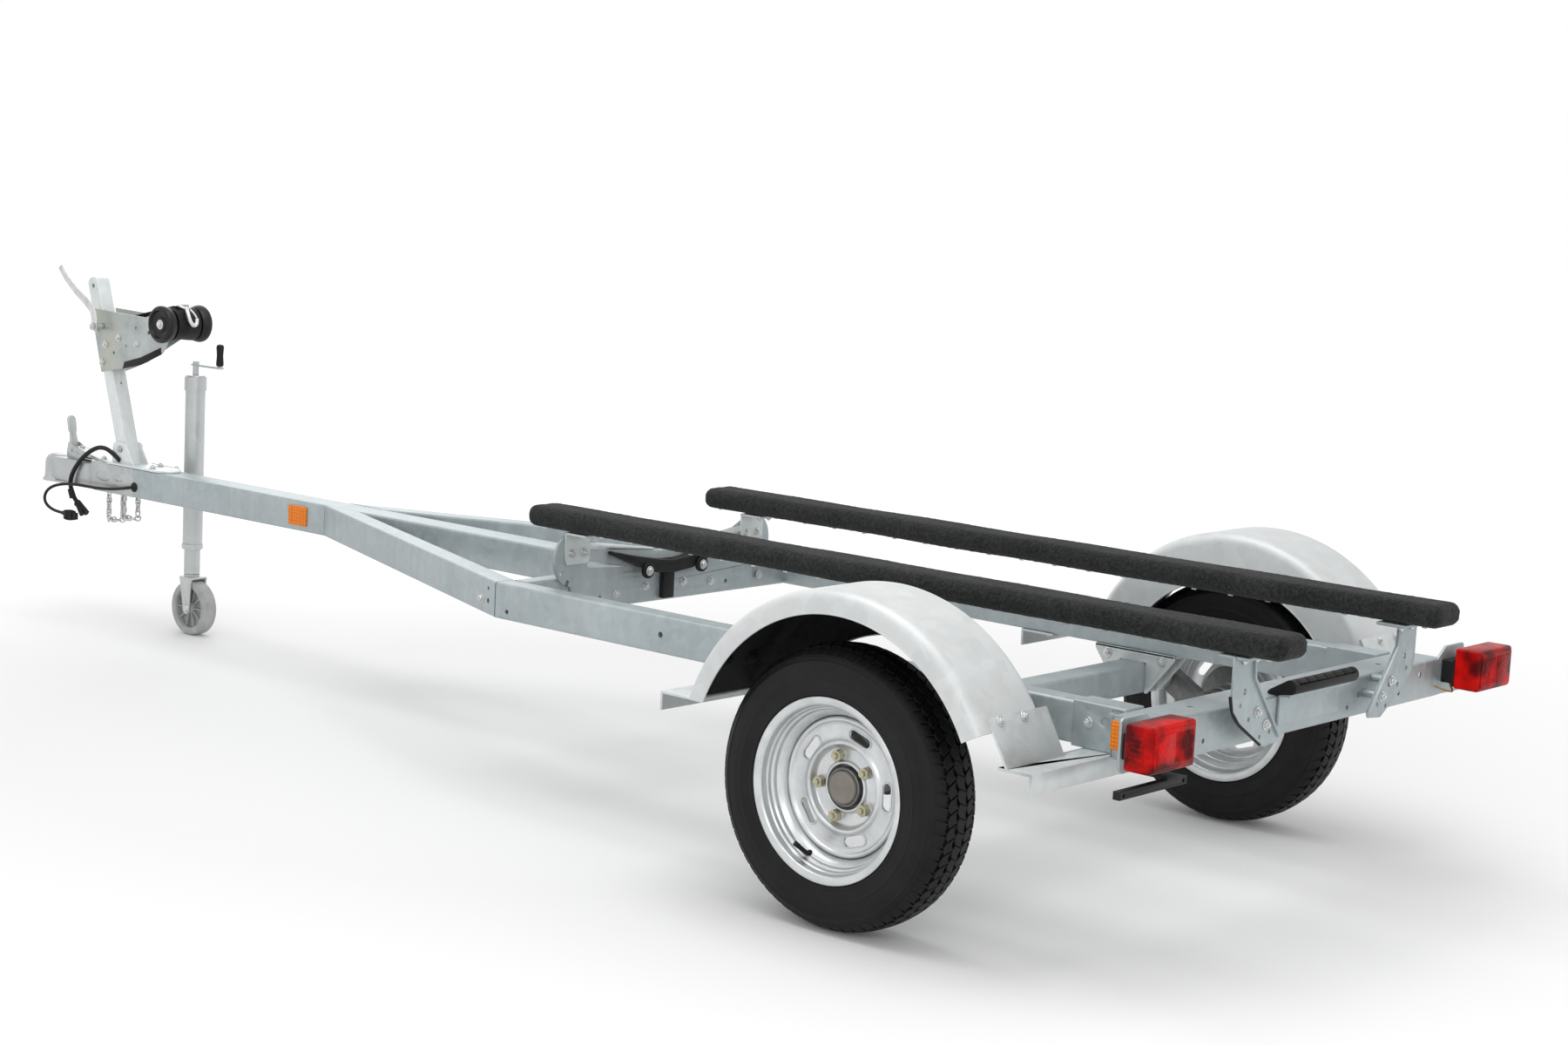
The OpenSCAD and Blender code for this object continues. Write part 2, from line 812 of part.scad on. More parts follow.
// Folded coupler: a channel behind, narrowing to the cup over the ball
module coupler() {
    h = tongue_half;
    top = frame_top;
    cup_r = ball_r + nose_wall;
    cup_top = coupler_bottom + socket_depth;
    color(galvanised) place() difference() {
        union() {
            block([tongue_front, -h, coupler_bottom], [channel_end, h, top]);
            translate([0, 0, coupler_bottom]) linear_extrude(tube_h - 8) polygon([
                [channel_end, -h], [channel_end, h],
                [neck_back, 28], [ball_x, 30], [ball_x, -30], [neck_back, -28]
            ]);
            translate([ball_x, 0, coupler_bottom]) cylinder(r = cup_r - 6, h = socket_depth);
            translate([ball_x, 0, coupler_bottom]) cylinder(r = cup_r, h = 6);
            translate([ball_x, 0, cup_top]) intersection() {
                sphere(r = cup_r - 6);
                translate([-100, -100, 0]) cube([200, 200, top - cup_top]);
            }
        }
        block([tongue_front - cut, -h + coupler_wall, coupler_bottom - cut],
              [channel_end - 20, h - coupler_wall, top - coupler_wall]);
        translate([ball_x, 0, coupler_bottom - cut]) cylinder(r = ball_r, h = socket_depth + cut);
    }
}

// Standing latch lever with its yoke on the coupler's neck
module coupler_latch() {
    lever_x = neck_back;
    yoke_h = 14;
    color(pale_zinc) place() {
        block([lever_x - 60, -16, neck_top], [lever_x + 14, 16, neck_top + yoke_h]);
        translate([lever_x, 0, neck_top + yoke_h]) rotate([0, 12, 0])
            translate([-6, -13, -3]) cube([12, 26, 100]);
    }
}

module winch_post() {
    color(pale_zinc) place() difference() {
        translate([post_x, 0, frame_top + base_t]) rotate([0, post_lean, 0])
            translate([0, 0, post_len / 2 - 10]) difference() {
                cube([post_side, post_side, post_len + 20], center = true);
                cube([post_side - 2 * post_wall, post_side - 2 * post_wall, post_len + 40], center = true);
            }
        block([post_x - 200, -100, frame_top - 100], [post_x + 200, 100, frame_top + base_t]);
    }
}

// Foot plate on the tongue with two ears beside the post
module winch_post_base() {
    z0 = frame_top;
    color(pale_zinc) place() {
        block([base_back, -tongue_half, z0], [base_front, tongue_half, z0 + base_t]);
        for (y = [-post_side / 2 - ear_t, post_side / 2]) plate_xz([
            [post_x - 50, z0], [post_x - 8, z0 + ear_h],
            [post_x + 44, z0 + ear_h], [base_front, z0 + base_t], [base_front, z0]
        ], y, y + ear_t);
    }
}

// Side plates that run back from the post to the bow roller, joined by a floor
module winch_bracket() {
    y0 = winch_plate_y;
    out = y0 + plate_t;
    outline = [
        [4, 16], [-45, -148], [-215, -114], [-358, -57],
        [-367, 12], [-333, 26], [-293, 26], [-230, 10]
    ];
    floor_strip = [[-88, -138], [-215, -112], [-215, -107], [-88, -133]];
    spacers = [-42, -132];
    spacer_r = 12;
    color(pale_zinc) place() translate([winch_x, 0, winch_z]) difference() {
        union() {
            plate_xz(outline, y0, out);
            plate_xz(outline, -out, -y0);
            plate_xz(floor_strip, -y0, y0);
            left_and_right() for (d = spacers)
                rod_y(d * sin(post_lean) - 8, d * cos(post_lean), post_side / 2, y0, spacer_r);
        }
        rod_y(roller_x - winch_x, roller_z - winch_z, -out - cut, out + cut, roller_pin_r);
    }
}

// Winch drum with its strap winding and the gear housing beside it
module winch_drum() {
    color(black) place() {
        rod_y(drum_x, drum_z, -winch_plate_y, winch_plate_y, drum_axle_r);
        rod_y(drum_x, drum_z, -strap_w / 2, strap_w / 2, winding_r);
    }
}

// Crank of the winch: shaft through the left plate, arm and grip
module winch_handle() {
    color(pale_zinc) place() {
        rod_y(handle_x, handle_z, winch_plate_y + plate_t + handle_gap, handle_y + 6, 8);
        translate([handle_x, handle_y, handle_z]) rotate([0, -handle_turn, 0])
            translate([-10, 0, -12]) cube([handle_len, 6, 24]);
    }
}

// Webbing from the drum over the bow roller
module winch_strap() {
    y = strap_w / 2;
    top = strap_top;
    color(black) place() plate_xz([
        [drum_x - 4, drum_z + winding_r], [roller_x + 10, top],
        [roller_x - 10, top], [roller_x - 10, top + strap_t],
        [roller_x + 12, top + strap_t], [drum_x - 4, drum_z + winding_r + strap_t]
    ], -y, y);
}

// Snap hook that ends the strap
module strap_hook() {
    color(pale_zinc) place() translate([roller_x - 28, 0, strap_top]) difference() {
        block([-26, -20, 0], [18, 20, hook_t]);
        translate([-6, 0, -cut]) cylinder(r = hook_hole_r, h = hook_t + 2 * cut);
    }
}

// Rubber roller on its pin, with a bell outside each bracket plate
module bow_roller() {
    half = roller_len / 2;
    gap = 0.5;
    inner = winch_plate_y - gap;
    bell_in = winch_plate_y + plate_t + gap;
    color(black) place() translate([roller_x, 0, roller_z]) rotate([-90, 0, 0]) {
        translate([0, 0, -half]) cylinder(r = roller_pin_r - roller_bore_gap, h = 2 * half);
        rotate_extrude() polygon([
            [0, -inner], [spool_r, -inner], [spool_r - 4, 0], [spool_r, inner], [0, inner]
        ]);
        for (m = [0, 1]) mirror([0, 0, m]) rotate_extrude() polygon([
            [0, bell_in], [spool_r, bell_in], [roller_r, bell_in + 14],
            [roller_r, half - 4], [roller_r - 4, half], [0, half]
        ]);
    }
}

// Bolt-on plate and pivot tube that carry the jack beside the tongue
module jack_bracket() {
    y_in = -tongue_half;
    plate = 8;
    color(pale_zinc) place() {
        block([jack_x - 55, y_in - plate, frame_bottom - 8], [jack_x + 55, y_in, frame_top + 8]);
        rod_y(jack_x, jack_pivot_z, -jack_y + jack_tube_r + 12, y_in - plate, pivot_r + 8);
        rod_y(jack_x, jack_pivot_z, -jack_y + jack_tube_r + 1, y_in - plate, pivot_r);
    }
}

// Outer tube of the jack with the swivel collar that turns on the bracket
module jack_tube() {
    collar_in = -jack_y + jack_tube_r + 11;
    color(pale_zinc) place() difference() {
        union() {
            translate([jack_x, -jack_y, jack_tube_bottom])
                cylinder(r = jack_tube_r, h = jack_tube_top - jack_tube_bottom);
            rod_y(jack_x, jack_pivot_z, -jack_y, collar_in, pivot_r + 10);
        }
        translate([jack_x, -jack_y, jack_tube_bottom - cut])
            cylinder(r = leg_r + leg_gap, h = jack_tube_top - jack_tube_bottom - 6 + cut);
        rod_y(jack_x, jack_pivot_z, -jack_y + jack_tube_r, collar_in + cut, pivot_r + 0.05);
    }
}

// Crank handle on top of the jack tube
module jack_crank() {
    z = jack_tube_top;
    color(pale_zinc) place() {
        translate([jack_x, -jack_y, z]) cylinder(r = 8, h = 24);
        block([jack_x - 110, -jack_y - 9, z + 24], [jack_x + 12, -jack_y + 9, z + 30]);
        translate([jack_x - 100, -jack_y, z + 30]) cylinder(r = 10, h = 60);
    }
}

// Inner leg that winds out of the jack tube
module jack_leg() {
    color(galvanised) place() difference() {
        translate([jack_x, -jack_y, leg_foot])
            cylinder(r = leg_r, h = jack_tube_bottom + leg_grip - leg_foot);
        translate([jack_x, -jack_y, leg_foot - cut])
            cylinder(r = swivel_r + swivel_gap, h = swivel_len + 2 * cut + swivel_play);
    }
}

// Caster fork that turns in the foot of the leg
module jack_caster() {
    y_in = jack_wheel_w / 2 + 1.5;
    crown = crown_z;
    color(pale_zinc) place() difference() {
        translate([jack_x, -jack_y, 0]) union() {
            translate([0, 0, crown]) cylinder(r = leg_r, h = swivel_plate);
            translate([0, 0, crown]) cylinder(r = swivel_r, h = swivel_plate + swivel_len);
            block([-jack_trail - 20, -y_in - yoke_t, crown - yoke_crown], [20, y_in + yoke_t, crown]);
            for (y = [-y_in - yoke_t, y_in]) plate_xz([
                [-jack_trail - 20, crown], [20, crown],
                [-jack_trail + 13, jack_wheel_r - 8], [-jack_trail, jack_wheel_r - 16],
                [-jack_trail - 13, jack_wheel_r - 8]
            ], y, y + yoke_t);
        }
        rod_y(jack_x - jack_trail, jack_wheel_r, -jack_y - 60, -jack_y + 60,
              jack_pin_r + jack_pin_gap);
    }
}

module jack_wheel() {
    w = jack_wheel_w / 2;
    color(grey) place() translate([jack_x - jack_trail, -jack_y, jack_wheel_r]) rotate([-90, 0, 0]) {
        rotate_extrude() polygon([
            [0, -w + 6], [jack_wheel_r - 20, -w + 6], [jack_wheel_r - 16, -w],
            [jack_wheel_r - 4, -w], [jack_wheel_r, -w + 4], [jack_wheel_r, w - 4],
            [jack_wheel_r - 4, w], [jack_wheel_r - 16, w], [jack_wheel_r - 20, w - 6], [0, w - 6]
        ]);
        translate([0, 0, -w - yoke_t - 4]) cylinder(r = jack_pin_r, h = 2 * (w + yoke_t + 4));
        translate([0, 0, -w]) cylinder(r = jack_pin_r + 6, h = 2 * w);
    }
}

// Two safety chains hooked up under the coupler channel
module safety_chains() {
    x0 = tongue_front + 60;
    z0 = frame_bottom - chain_drop;
    color(pale_zinc) place() left_and_right() {
        for (x = [x0, x0 + chain_pitch]) translate([x, chain_y, z0]) {
            cylinder(r = chain_r, h = chain_drop + 20);
            sphere(r = chain_r);
        }
        rod_x(chain_y, z0, x0, x0 + chain_pitch, chain_r);
    }
}

// Route of the towing vehicle's wiring cable, from its gland in the tongue's left side
cable_r = 4;
cable_from = [tongue_front, tongue_half, frame_bottom];
cable_route = [
    for (p = [
        [-7, 0, 28], [-7, 8, 28], [2, 16, 26], [28, 19, 21], [78, 19, 14],
        [138, 18, 10], [188, 19, 10], [238, 22, 9], [278, 28, 4],
        [308, 36, -6], [324, 42, -22], [324, 46, -40], [310, 48, -54],
        [286, 46, -64], [258, 42, -68], [232, 42, -68]
    ]) cable_from + p
];

function unit(v) = v / norm(v);
function turn_at(pts, i) = unit(pts[min(i + 1, len(pts) - 1)] - pts[max(i - 1, 0)]);
function ring(pts, i, r, n) =
    let (d = turn_at(pts, i), a = unit(cross(d, [0.1, 0.2, 1])), b = cross(d, a))
    [for (k = [0:n - 1]) pts[i] + r * (cos(360 * k / n) * a + sin(360 * k / n) * b)];

// A tube swept along a list of points, with flat ends
module swept_tube(pts, r, n) {
    last = len(pts) - 1;
    points = [for (i = [0:last]) each ring(pts, i, r, n)];
    sides = [for (i = [0:last - 1], k = [0:n - 1])
        [i * n + k, i * n + (k + 1) % n, (i + 1) * n + (k + 1) % n, (i + 1) * n + k]];
    start = [[for (k = [n - 1:-1:0]) k]];
    end = [[for (k = [0:n - 1]) last * n + k]];
    polyhedron(points = points, faces = concat(sides, start, end), convexity = 4);
}

module wiring_cable() {
    color(black) place() swept_tube(cable_route, cable_r, 8);
}

// Flat trailer plug on the end of the cable
module wiring_plug() {
    p = cable_route[len(cable_route) - 1];
    color(black) place() translate(p) block([-48, -8, -14], [0, 8, 10]);
}

tongue();
left_rail();
right_rail();
left_drawbar();
right_drawbar();
rail_sleeves();
rear_cross_member();
front_cross_member();
front_bolster();
front_keel_pad();
rear_keel_pad();
left_bunk();
right_bunk();
front_bunk_brackets();
rear_bunk_brackets();
axle_tube();
axle_brackets();
left_torsion_arm();
right_torsion_arm();
left_hub();
right_hub();
left_rim();
right_rim();
left_tyre();
right_tyre();
left_fender();
right_fender();
front_fender_brackets();
rear_fender_brackets();
left_tail_light();
right_tail_light();
tail_light_housings();
plate_holder();
side_reflectors();
coupler();
coupler_latch();
winch_post();
winch_post_base();
winch_bracket();
winch_drum();
winch_handle();
winch_strap();
strap_hook();
bow_roller();
jack_bracket();
jack_tube();
jack_crank();
jack_leg();
jack_caster();
jack_wheel();
safety_chains();
wiring_cable();
wiring_plug();
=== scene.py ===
from math import asin, cos, degrees, pi, radians, sin, sqrt
from random import Random

import bpy
from mathutils import Matrix, Vector


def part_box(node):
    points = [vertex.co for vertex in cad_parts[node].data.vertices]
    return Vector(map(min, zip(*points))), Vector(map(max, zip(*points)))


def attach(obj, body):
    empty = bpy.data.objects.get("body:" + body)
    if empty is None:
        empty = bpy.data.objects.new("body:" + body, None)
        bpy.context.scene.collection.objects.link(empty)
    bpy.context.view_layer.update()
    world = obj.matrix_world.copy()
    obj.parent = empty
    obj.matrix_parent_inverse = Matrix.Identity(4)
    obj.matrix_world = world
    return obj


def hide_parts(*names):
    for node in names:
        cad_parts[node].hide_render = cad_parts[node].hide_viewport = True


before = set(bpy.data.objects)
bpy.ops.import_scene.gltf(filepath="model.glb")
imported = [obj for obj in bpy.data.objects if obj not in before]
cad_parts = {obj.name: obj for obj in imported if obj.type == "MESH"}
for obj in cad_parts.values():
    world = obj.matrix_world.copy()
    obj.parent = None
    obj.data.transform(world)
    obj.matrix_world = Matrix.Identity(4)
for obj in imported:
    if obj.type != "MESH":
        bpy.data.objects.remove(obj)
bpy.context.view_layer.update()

# Camera
# It stands behind the trailer on its left, a little above the fenders, and looks
# forward along the frame with a long lens. The picture leans by under three degrees.
wheel_low, wheel_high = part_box("left_tyre")
axle_x = (wheel_low[0] + wheel_high[0]) / 2


def spot(x, y, z):
    """A place in millimetres from the ground under the axle's middle, in the frame's metres."""
    return Vector((axle_x + x / 1000, y / 1000, z / 1000))


camera_lens = bpy.data.cameras.new("camera")
camera = bpy.data.objects.new("camera", camera_lens)
bpy.context.scene.collection.objects.link(camera)
bpy.context.scene.camera = camera
camera_lens.sensor_width = 36
camera_lens.lens = 64.36
camera_lens.clip_end = 200
camera_yaw, camera_pitch, camera_roll = radians(40.46), radians(8), radians(2.84)
ahead = Vector((sin(camera_yaw) * cos(camera_pitch), -cos(camera_yaw) * cos(camera_pitch),
    -sin(camera_pitch)))
level = ahead.cross(Vector((0, 0, 1))).normalized()
over = level.cross(ahead)
right = level * cos(camera_roll) + over * sin(camera_roll)
up = over * cos(camera_roll) - level * sin(camera_roll)
stand = spot(-3050, 4428, 1407.5)
camera.matrix_world = Matrix((
    (right.x, up.x, -ahead.x, stand.x),
    (right.y, up.y, -ahead.y, stand.y),
    (right.z, up.z, -ahead.z, stand.z),
    (0, 0, 0, 1)))

# Wiring cable and plug
# A black jacketed light cable, 8 mm thick. It leaves a rubber grommet in the tongue's
# left side, runs along the coupler, hangs in one loop and ends in a flat moulded plug.


class Socket:
    """A material's node socket that can be added, multiplied and compared like a number."""

    def __init__(self, tree, link):
        self.tree, self.link = tree, link

    def node(self, kind, settings=None, sockets=None, out=0):
        made = self.tree.nodes.new("ShaderNode" + kind)
        for key, value in (settings or {}).items():
            if key == "stops":
                ends = made.color_ramp.elements
                while len(ends) < len(value):
                    ends.new(0.5)
                for end, (place, shade) in zip(ends, value):
                    end.position = place
                    end.color = (*shade, 1)
            else:
                setattr(made, key, value)
        for key, value in (sockets or {}).items():
            if isinstance(value, Socket):
                self.tree.links.new(made.inputs[key], value.link)
            else:
                made.inputs[key].default_value = value
        return Socket(self.tree, made.outputs[out])

    def math(self, operation, a, b=0.0):
        return self.node("Math", {"operation": operation}, {0: a, 1: b})

    def __add__(self, other):
        return self.math("ADD", self, other)

    __radd__ = __add__

    def __sub__(self, other):
        return self.math("SUBTRACT", self, other)

    def __rsub__(self, other):
        return self.math("SUBTRACT", other, self)

    def __mul__(self, other):
        return self.math("MULTIPLY", self, other)

    __rmul__ = __mul__

    def over(self, low, high):
        """0 where the value is low, 1 where it is high, and a straight line between."""
        return self.node("MapRange", {"clamp": True}, {0: self, 1: low, 2: high})

    def noise(self, scale, detail=3.0, rough=0.5):
        return self.node("TexNoise", None, {"Vector": self, "Scale": scale, "Detail": detail,
            "Roughness": rough})

    def cells(self, scale, feature="F1", out=0):
        return self.node("TexVoronoi", {"feature": feature}, {"Vector": self, "Scale": scale}, out)

    def stretch(self, x, y, z):
        return self.node("VectorMath", {"operation": "MULTIPLY"}, {0: self, 1: (x, y, z)})

    def parts(self):
        split = self.node("SeparateXYZ", None, {0: self})
        return [Socket(self.tree, end) for end in split.link.node.outputs]

    def tint(self, shade_a, shade_b):
        """Goes from one colour to the other as this value goes from 0 to 1."""
        ends = [Socket.colour(s) for s in (shade_a, shade_b)]
        return self.node("Mix", {"data_type": "RGBA"}, {0: self, 6: ends[0], 7: ends[1]}, 2)

    @staticmethod
    def colour(shade):
        return shade if isinstance(shade, Socket) else (*shade, 1)


def new_finish(name):
    """A new material and its Object coordinates."""
    material = bpy.data.materials.new(name)
    material.use_nodes = True
    tree = material.node_tree
    return material, Socket(tree, tree.nodes.new("ShaderNodeTexCoord").outputs["Object"])


def set_finish(material, bump=None, height=0.001, **values):
    """Puts numbers, colours and sockets on the material's shader."""
    tree = material.node_tree
    shader = next(n for n in tree.nodes if n.type == "BSDF_PRINCIPLED")
    for key, value in values.items():
        end = shader.inputs[key.replace("_", " ")]
        if isinstance(value, Socket):
            tree.links.new(end, value.link)
        else:
            end.default_value = Socket.colour(value) if isinstance(value, tuple) else value
    if bump:
        dent = bump.node("Bump", None, {"Strength": 1.0, "Distance": height, "Height": bump})
        tree.links.new(shader.inputs["Normal"], dent.link)


def wear(piece, material, slot, *nodes, body="frame"):
    """Gives a finished piece its material and the body it rides on, and hides the nodes it stands for. The
    slot is not used.
    """
    piece.data.materials.clear()
    piece.data.materials.append(material)
    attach(piece, body)
    if nodes:
        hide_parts(*nodes)
    return piece


def pick(piece):
    """Selects one piece alone."""
    bpy.ops.object.select_all(action="DESELECT")
    piece.select_set(True)
    bpy.context.view_layer.objects.active = piece
    return piece


def in_scene(name, data):
    """A new object in the scene, with this mesh, line or light."""
    piece = bpy.data.objects.new(name, data)
    bpy.context.scene.collection.objects.link(piece)
    return piece


def modify(piece, kind, **settings):
    """Applies one modifier to a piece."""
    pick(piece)
    modifier = piece.modifiers.new(kind.lower(), kind)
    for key, value in settings.items():
        setattr(modifier, key, value)
    bpy.ops.object.modifier_apply(modifier=modifier.name)
    return piece


def smooth(piece, angle=35):
    pick(piece)
    bpy.ops.object.shade_smooth_by_angle(angle=radians(angle))
    return piece


def settle(name, piece=None):
    """Names the piece just made and puts its place into its mesh."""
    piece = piece or bpy.context.object
    piece.name = piece.data.name = name
    pick(piece)
    bpy.ops.object.transform_apply(location=True, rotation=True, scale=True)
    return piece


def block(name, low, high):
    bpy.ops.object.select_all(action="DESELECT")
    a, b = spot(*low), spot(*high)
    bpy.ops.mesh.primitive_cube_add(size=1, location=(a + b) / 2, scale=b - a)
    return settle(name)


def rod(name, start, end, radius, sides=32, tip=None):
    """A round bar between two places, or a cone where the tip has its own radius."""
    bpy.ops.object.select_all(action="DESELECT")
    a, b = spot(*start), spot(*end)
    turn = (b - a).to_track_quat("Z", "Y").to_euler()
    tip = radius if tip is None else tip
    bpy.ops.mesh.primitive_cone_add(vertices=sides, radius1=radius / 1000, radius2=tip / 1000,
                                    depth=(b - a).length, location=(a + b) / 2, rotation=turn)
    return settle(name)


def round_line(name, points, radius, sides, smooth_line=True):
    """A round curve along a line of places."""
    line = bpy.data.curves.new(name, "CURVE")
    line.dimensions = "3D"
    run = line.splines.new("NURBS" if smooth_line else "POLY")
    run.points.add(len(points) - 1)
    for point, place in zip(run.points, points):
        point.co = (*spot(*place), 1)
    if smooth_line:
        run.order_u = 3
        run.use_endpoint_u = True
        run.resolution_u = 6
    line.bevel_depth = radius / 1000
    line.bevel_resolution = sides
    line.use_fill_caps = True
    return in_scene(name, line)


def rod_y(name, x, z, start, end, *sizes):
    """A round bar across the trailer."""
    return rod(name, (x, start, z), (x, end, z), *sizes)


def bent_rod(name, points, radius, sides=3, smooth_line=True):
    """A round bar along a line of places."""
    pick(round_line(name, points, radius, sides, smooth_line))
    bpy.ops.object.convert(target="MESH")
    return smooth(settle(name))


def edges(piece, width, segments=2, angle=30):
    """Rounds the sharp edges of a finished piece."""
    return smooth(modify(piece, "BEVEL", width=width / 1000, segments=segments, limit_method="ANGLE",
                         angle_limit=radians(angle)))


def joined(name, *parts):
    """Several parts as one piece."""
    bpy.ops.object.select_all(action="DESELECT")
    for part in parts:
        part.select_set(True)
    bpy.context.view_layer.objects.active = parts[0]
    if len(parts) > 1:
        bpy.ops.object.join()
    return settle(name)


cable_black, place = new_finish("cable_black")
scuff = place.noise(60.0)
set_finish(cable_black, scuff, 0.0003, Specular_IOR_Level=0.25,
    Base_Color=scuff.tint((0.005, 0.005, 0.0055), (0.015, 0.015, 0.016)),
    Roughness=scuff.over(0.2, 0.9) * 0.25 + 0.4)

tongue_low, tongue_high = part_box("tongue")
tongue_end = tongue_high.x * 1000 - axle_x * 1000
tongue_side = tongue_high.y * 1000
frame_bottom, frame_top = tongue_low.z * 1000, tongue_high.z * 1000
cable_line = [(tongue_end + x, tongue_side + y, frame_bottom + z) for x, y, z in (
    (-7, 0, 28), (-7, 8, 28), (2, 16, 26), (28, 19, 21), (78, 19, 14), (138, 18, 10),
    (188, 19, 10), (238, 22, 9), (278, 28, 4), (308, 36, -6), (324, 42, -22),
    (324, 46, -40), (310, 48, -54), (286, 46, -64), (258, 42, -68), (232, 42, -68))]
cable_path = [spot(*p) for p in cable_line]
cable = round_line("wiring_cable_visual", cable_line, 4, 4)
wear(cable, cable_black, "cable_black", "wiring_cable")

# The plug's body with its finger ribs, its flat tongue and the cable's strain relief
plug_low, plug_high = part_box("wiring_plug")
px0, px1 = (plug_low.x - axle_x) * 1000, (plug_high.x - axle_x) * 1000
py0, py1, pz0, pz1 = (v * 1000 for v in (plug_low.y, plug_high.y, plug_low.z, plug_high.z))
plug_parts = [block("plug", (px0 + 14, py0, pz0), (px1, py1, pz1)),
              block("plug_tongue", (px0, py0 + 3, pz0 + 3), (px0 + 16, py1 - 3, pz1 - 3))]
for i in range(4):
    plug_parts.append(block("rib", (px0 + 22 + 5 * i, py0 - 1, pz0 - 1),
        (px0 + 24 + 5 * i, py1 + 1, pz1 + 1)))
plug_parts.append(rod("relief", *((px1 + x, *cable_line[-1][1:]) for x in (-1, 16)), 7, 20, 5))
plug = edges(joined("wiring_plug_visual", *plug_parts), 0.8)
wear(plug, cable_black, "cable_black", "wiring_plug")

# The rubber grommet in the tongue's side
grommet = [rod("ring", *((tongue_end - 7, tongue_side + y, frame_bottom + 28) for y in (y0, y1)), r, 32, tip)
           for y0, y1, r, tip in ((-1, 3, 13, 12), (2, 7, 9, 6))]
wear(edges(joined("cable_grommet", *grommet), 1), cable_black, "cable_black")

# Frame tubes
# Hot-dip galvanised steel tube, 76 mm high with a 3.2 mm wall. The tongue runs forward,
# the angled rails are welded to its sides, and the side rails slide in sleeves at the rear.


def reach(node):
    """A node's box in millimetres from the ground under the axle."""
    low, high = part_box(node)
    return ((low.x - axle_x) * 1000, (high.x - axle_x) * 1000, low.y * 1000, high.y * 1000,
            low.z * 1000, high.z * 1000)


def edit_all():
    """Goes to edit mode with all of the piece selected."""
    bpy.ops.object.mode_set(mode="EDIT")
    bpy.ops.mesh.select_all(action="SELECT")


def outline(name, points, thick, flat="z"):
    """A plate whose outline lies in the plane across the named axis, thick = (from, to) along it."""
    order = {"z": lambda a, b, c: (a, b, c), "y": lambda a, b, c: (a, c, b), "x": lambda a, b,
        c: (c, a, b)}[flat]
    bpy.ops.object.select_all(action="DESELECT")
    bpy.ops.mesh.primitive_circle_add(vertices=len(points), fill_type="NGON", radius=1, location=(0, 0, 0))
    piece = bpy.context.object
    for vertex, (a, b) in zip(piece.data.vertices, points):
        vertex.co = spot(*order(a, b, thick[0]))
    edit_all()
    push = Vector(order(0, 0, thick[1] - thick[0])) / 1000
    bpy.ops.mesh.extrude_region_move(TRANSFORM_OT_translate={"value": push})
    bpy.ops.mesh.select_all(action="SELECT")
    bpy.ops.mesh.normals_make_consistent(inside=False)
    bpy.ops.object.mode_set(mode="OBJECT")
    return settle(name)


def drill(piece, *cutters):
    """Cuts the cutters' shapes out of a piece."""
    tool = joined("tool", *cutters)
    modify(piece, "BOOLEAN", operation="DIFFERENCE", solver="EXACT", object=tool)
    bpy.data.objects.remove(tool)
    return piece


def hole(x, y, z, along, radius, depth=14):
    step = {"x": (depth, 0, 0), "y": (0, depth, 0), "z": (0, 0, depth)}[along]
    return rod("hole", (x - step[0], y - step[1], z - step[2]), (x + step[0], y + step[1], z + step[2]),
        radius, 20)


def tube(piece, wall=3.2, corner=6, open_ways=()):
    """Rounds a bar's long edges and hollows it at its open ends."""
    pick(piece)
    mesh = piece.data
    bpy.ops.object.mode_set(mode="EDIT")
    bpy.ops.mesh.select_mode(type="EDGE")
    bpy.ops.mesh.select_all(action="DESELECT")
    bpy.ops.object.mode_set(mode="OBJECT")
    length = {e.index: (mesh.vertices[e.vertices[0]].co - mesh.vertices[e.vertices[1]].co).length
        for e in mesh.edges}
    longest = max(length.values())
    for edge in mesh.edges:
        edge.select = length[edge.index] > 0.5 * longest
    bpy.ops.object.mode_set(mode="EDIT")
    bpy.ops.mesh.bevel(offset=corner / 1000, segments=4)
    for way in open_ways:
        way = Vector(way)
        bpy.ops.mesh.select_mode(type="FACE")
        bpy.ops.mesh.select_all(action="DESELECT")
        bpy.ops.object.mode_set(mode="OBJECT")
        ends = [f for f in mesh.polygons if f.normal.dot(way) > 0.95]
        ends.sort(key=lambda f: f.area)
        ends[-1].select = True
        bpy.ops.object.mode_set(mode="EDIT")
        bpy.ops.mesh.inset(thickness=wall / 1000)
        bpy.ops.mesh.extrude_region_move(TRANSFORM_OT_translate={"value": way * -0.16})
    bpy.ops.mesh.select_mode(type="VERT")
    bpy.ops.object.mode_set(mode="OBJECT")
    return smooth(piece, 40)


def wear_both(piece, material, slot, *nodes, body="frame"):
    """Mirrors a left-hand piece to the trailer's right, and finishes the two."""
    name = piece.name.replace("left", "right")
    other = in_scene(name, piece.data.copy())
    other.data.transform(Matrix.Diagonal((1, -1, 1, 1)))
    other.data.flip_normals()
    other.data.name = name
    wear(piece, material, slot, *nodes, body=body)
    wear(other, material, slot, *(n.replace("left", "right") for n in nodes if "left" in n),
         body=body.replace("left", "right"))


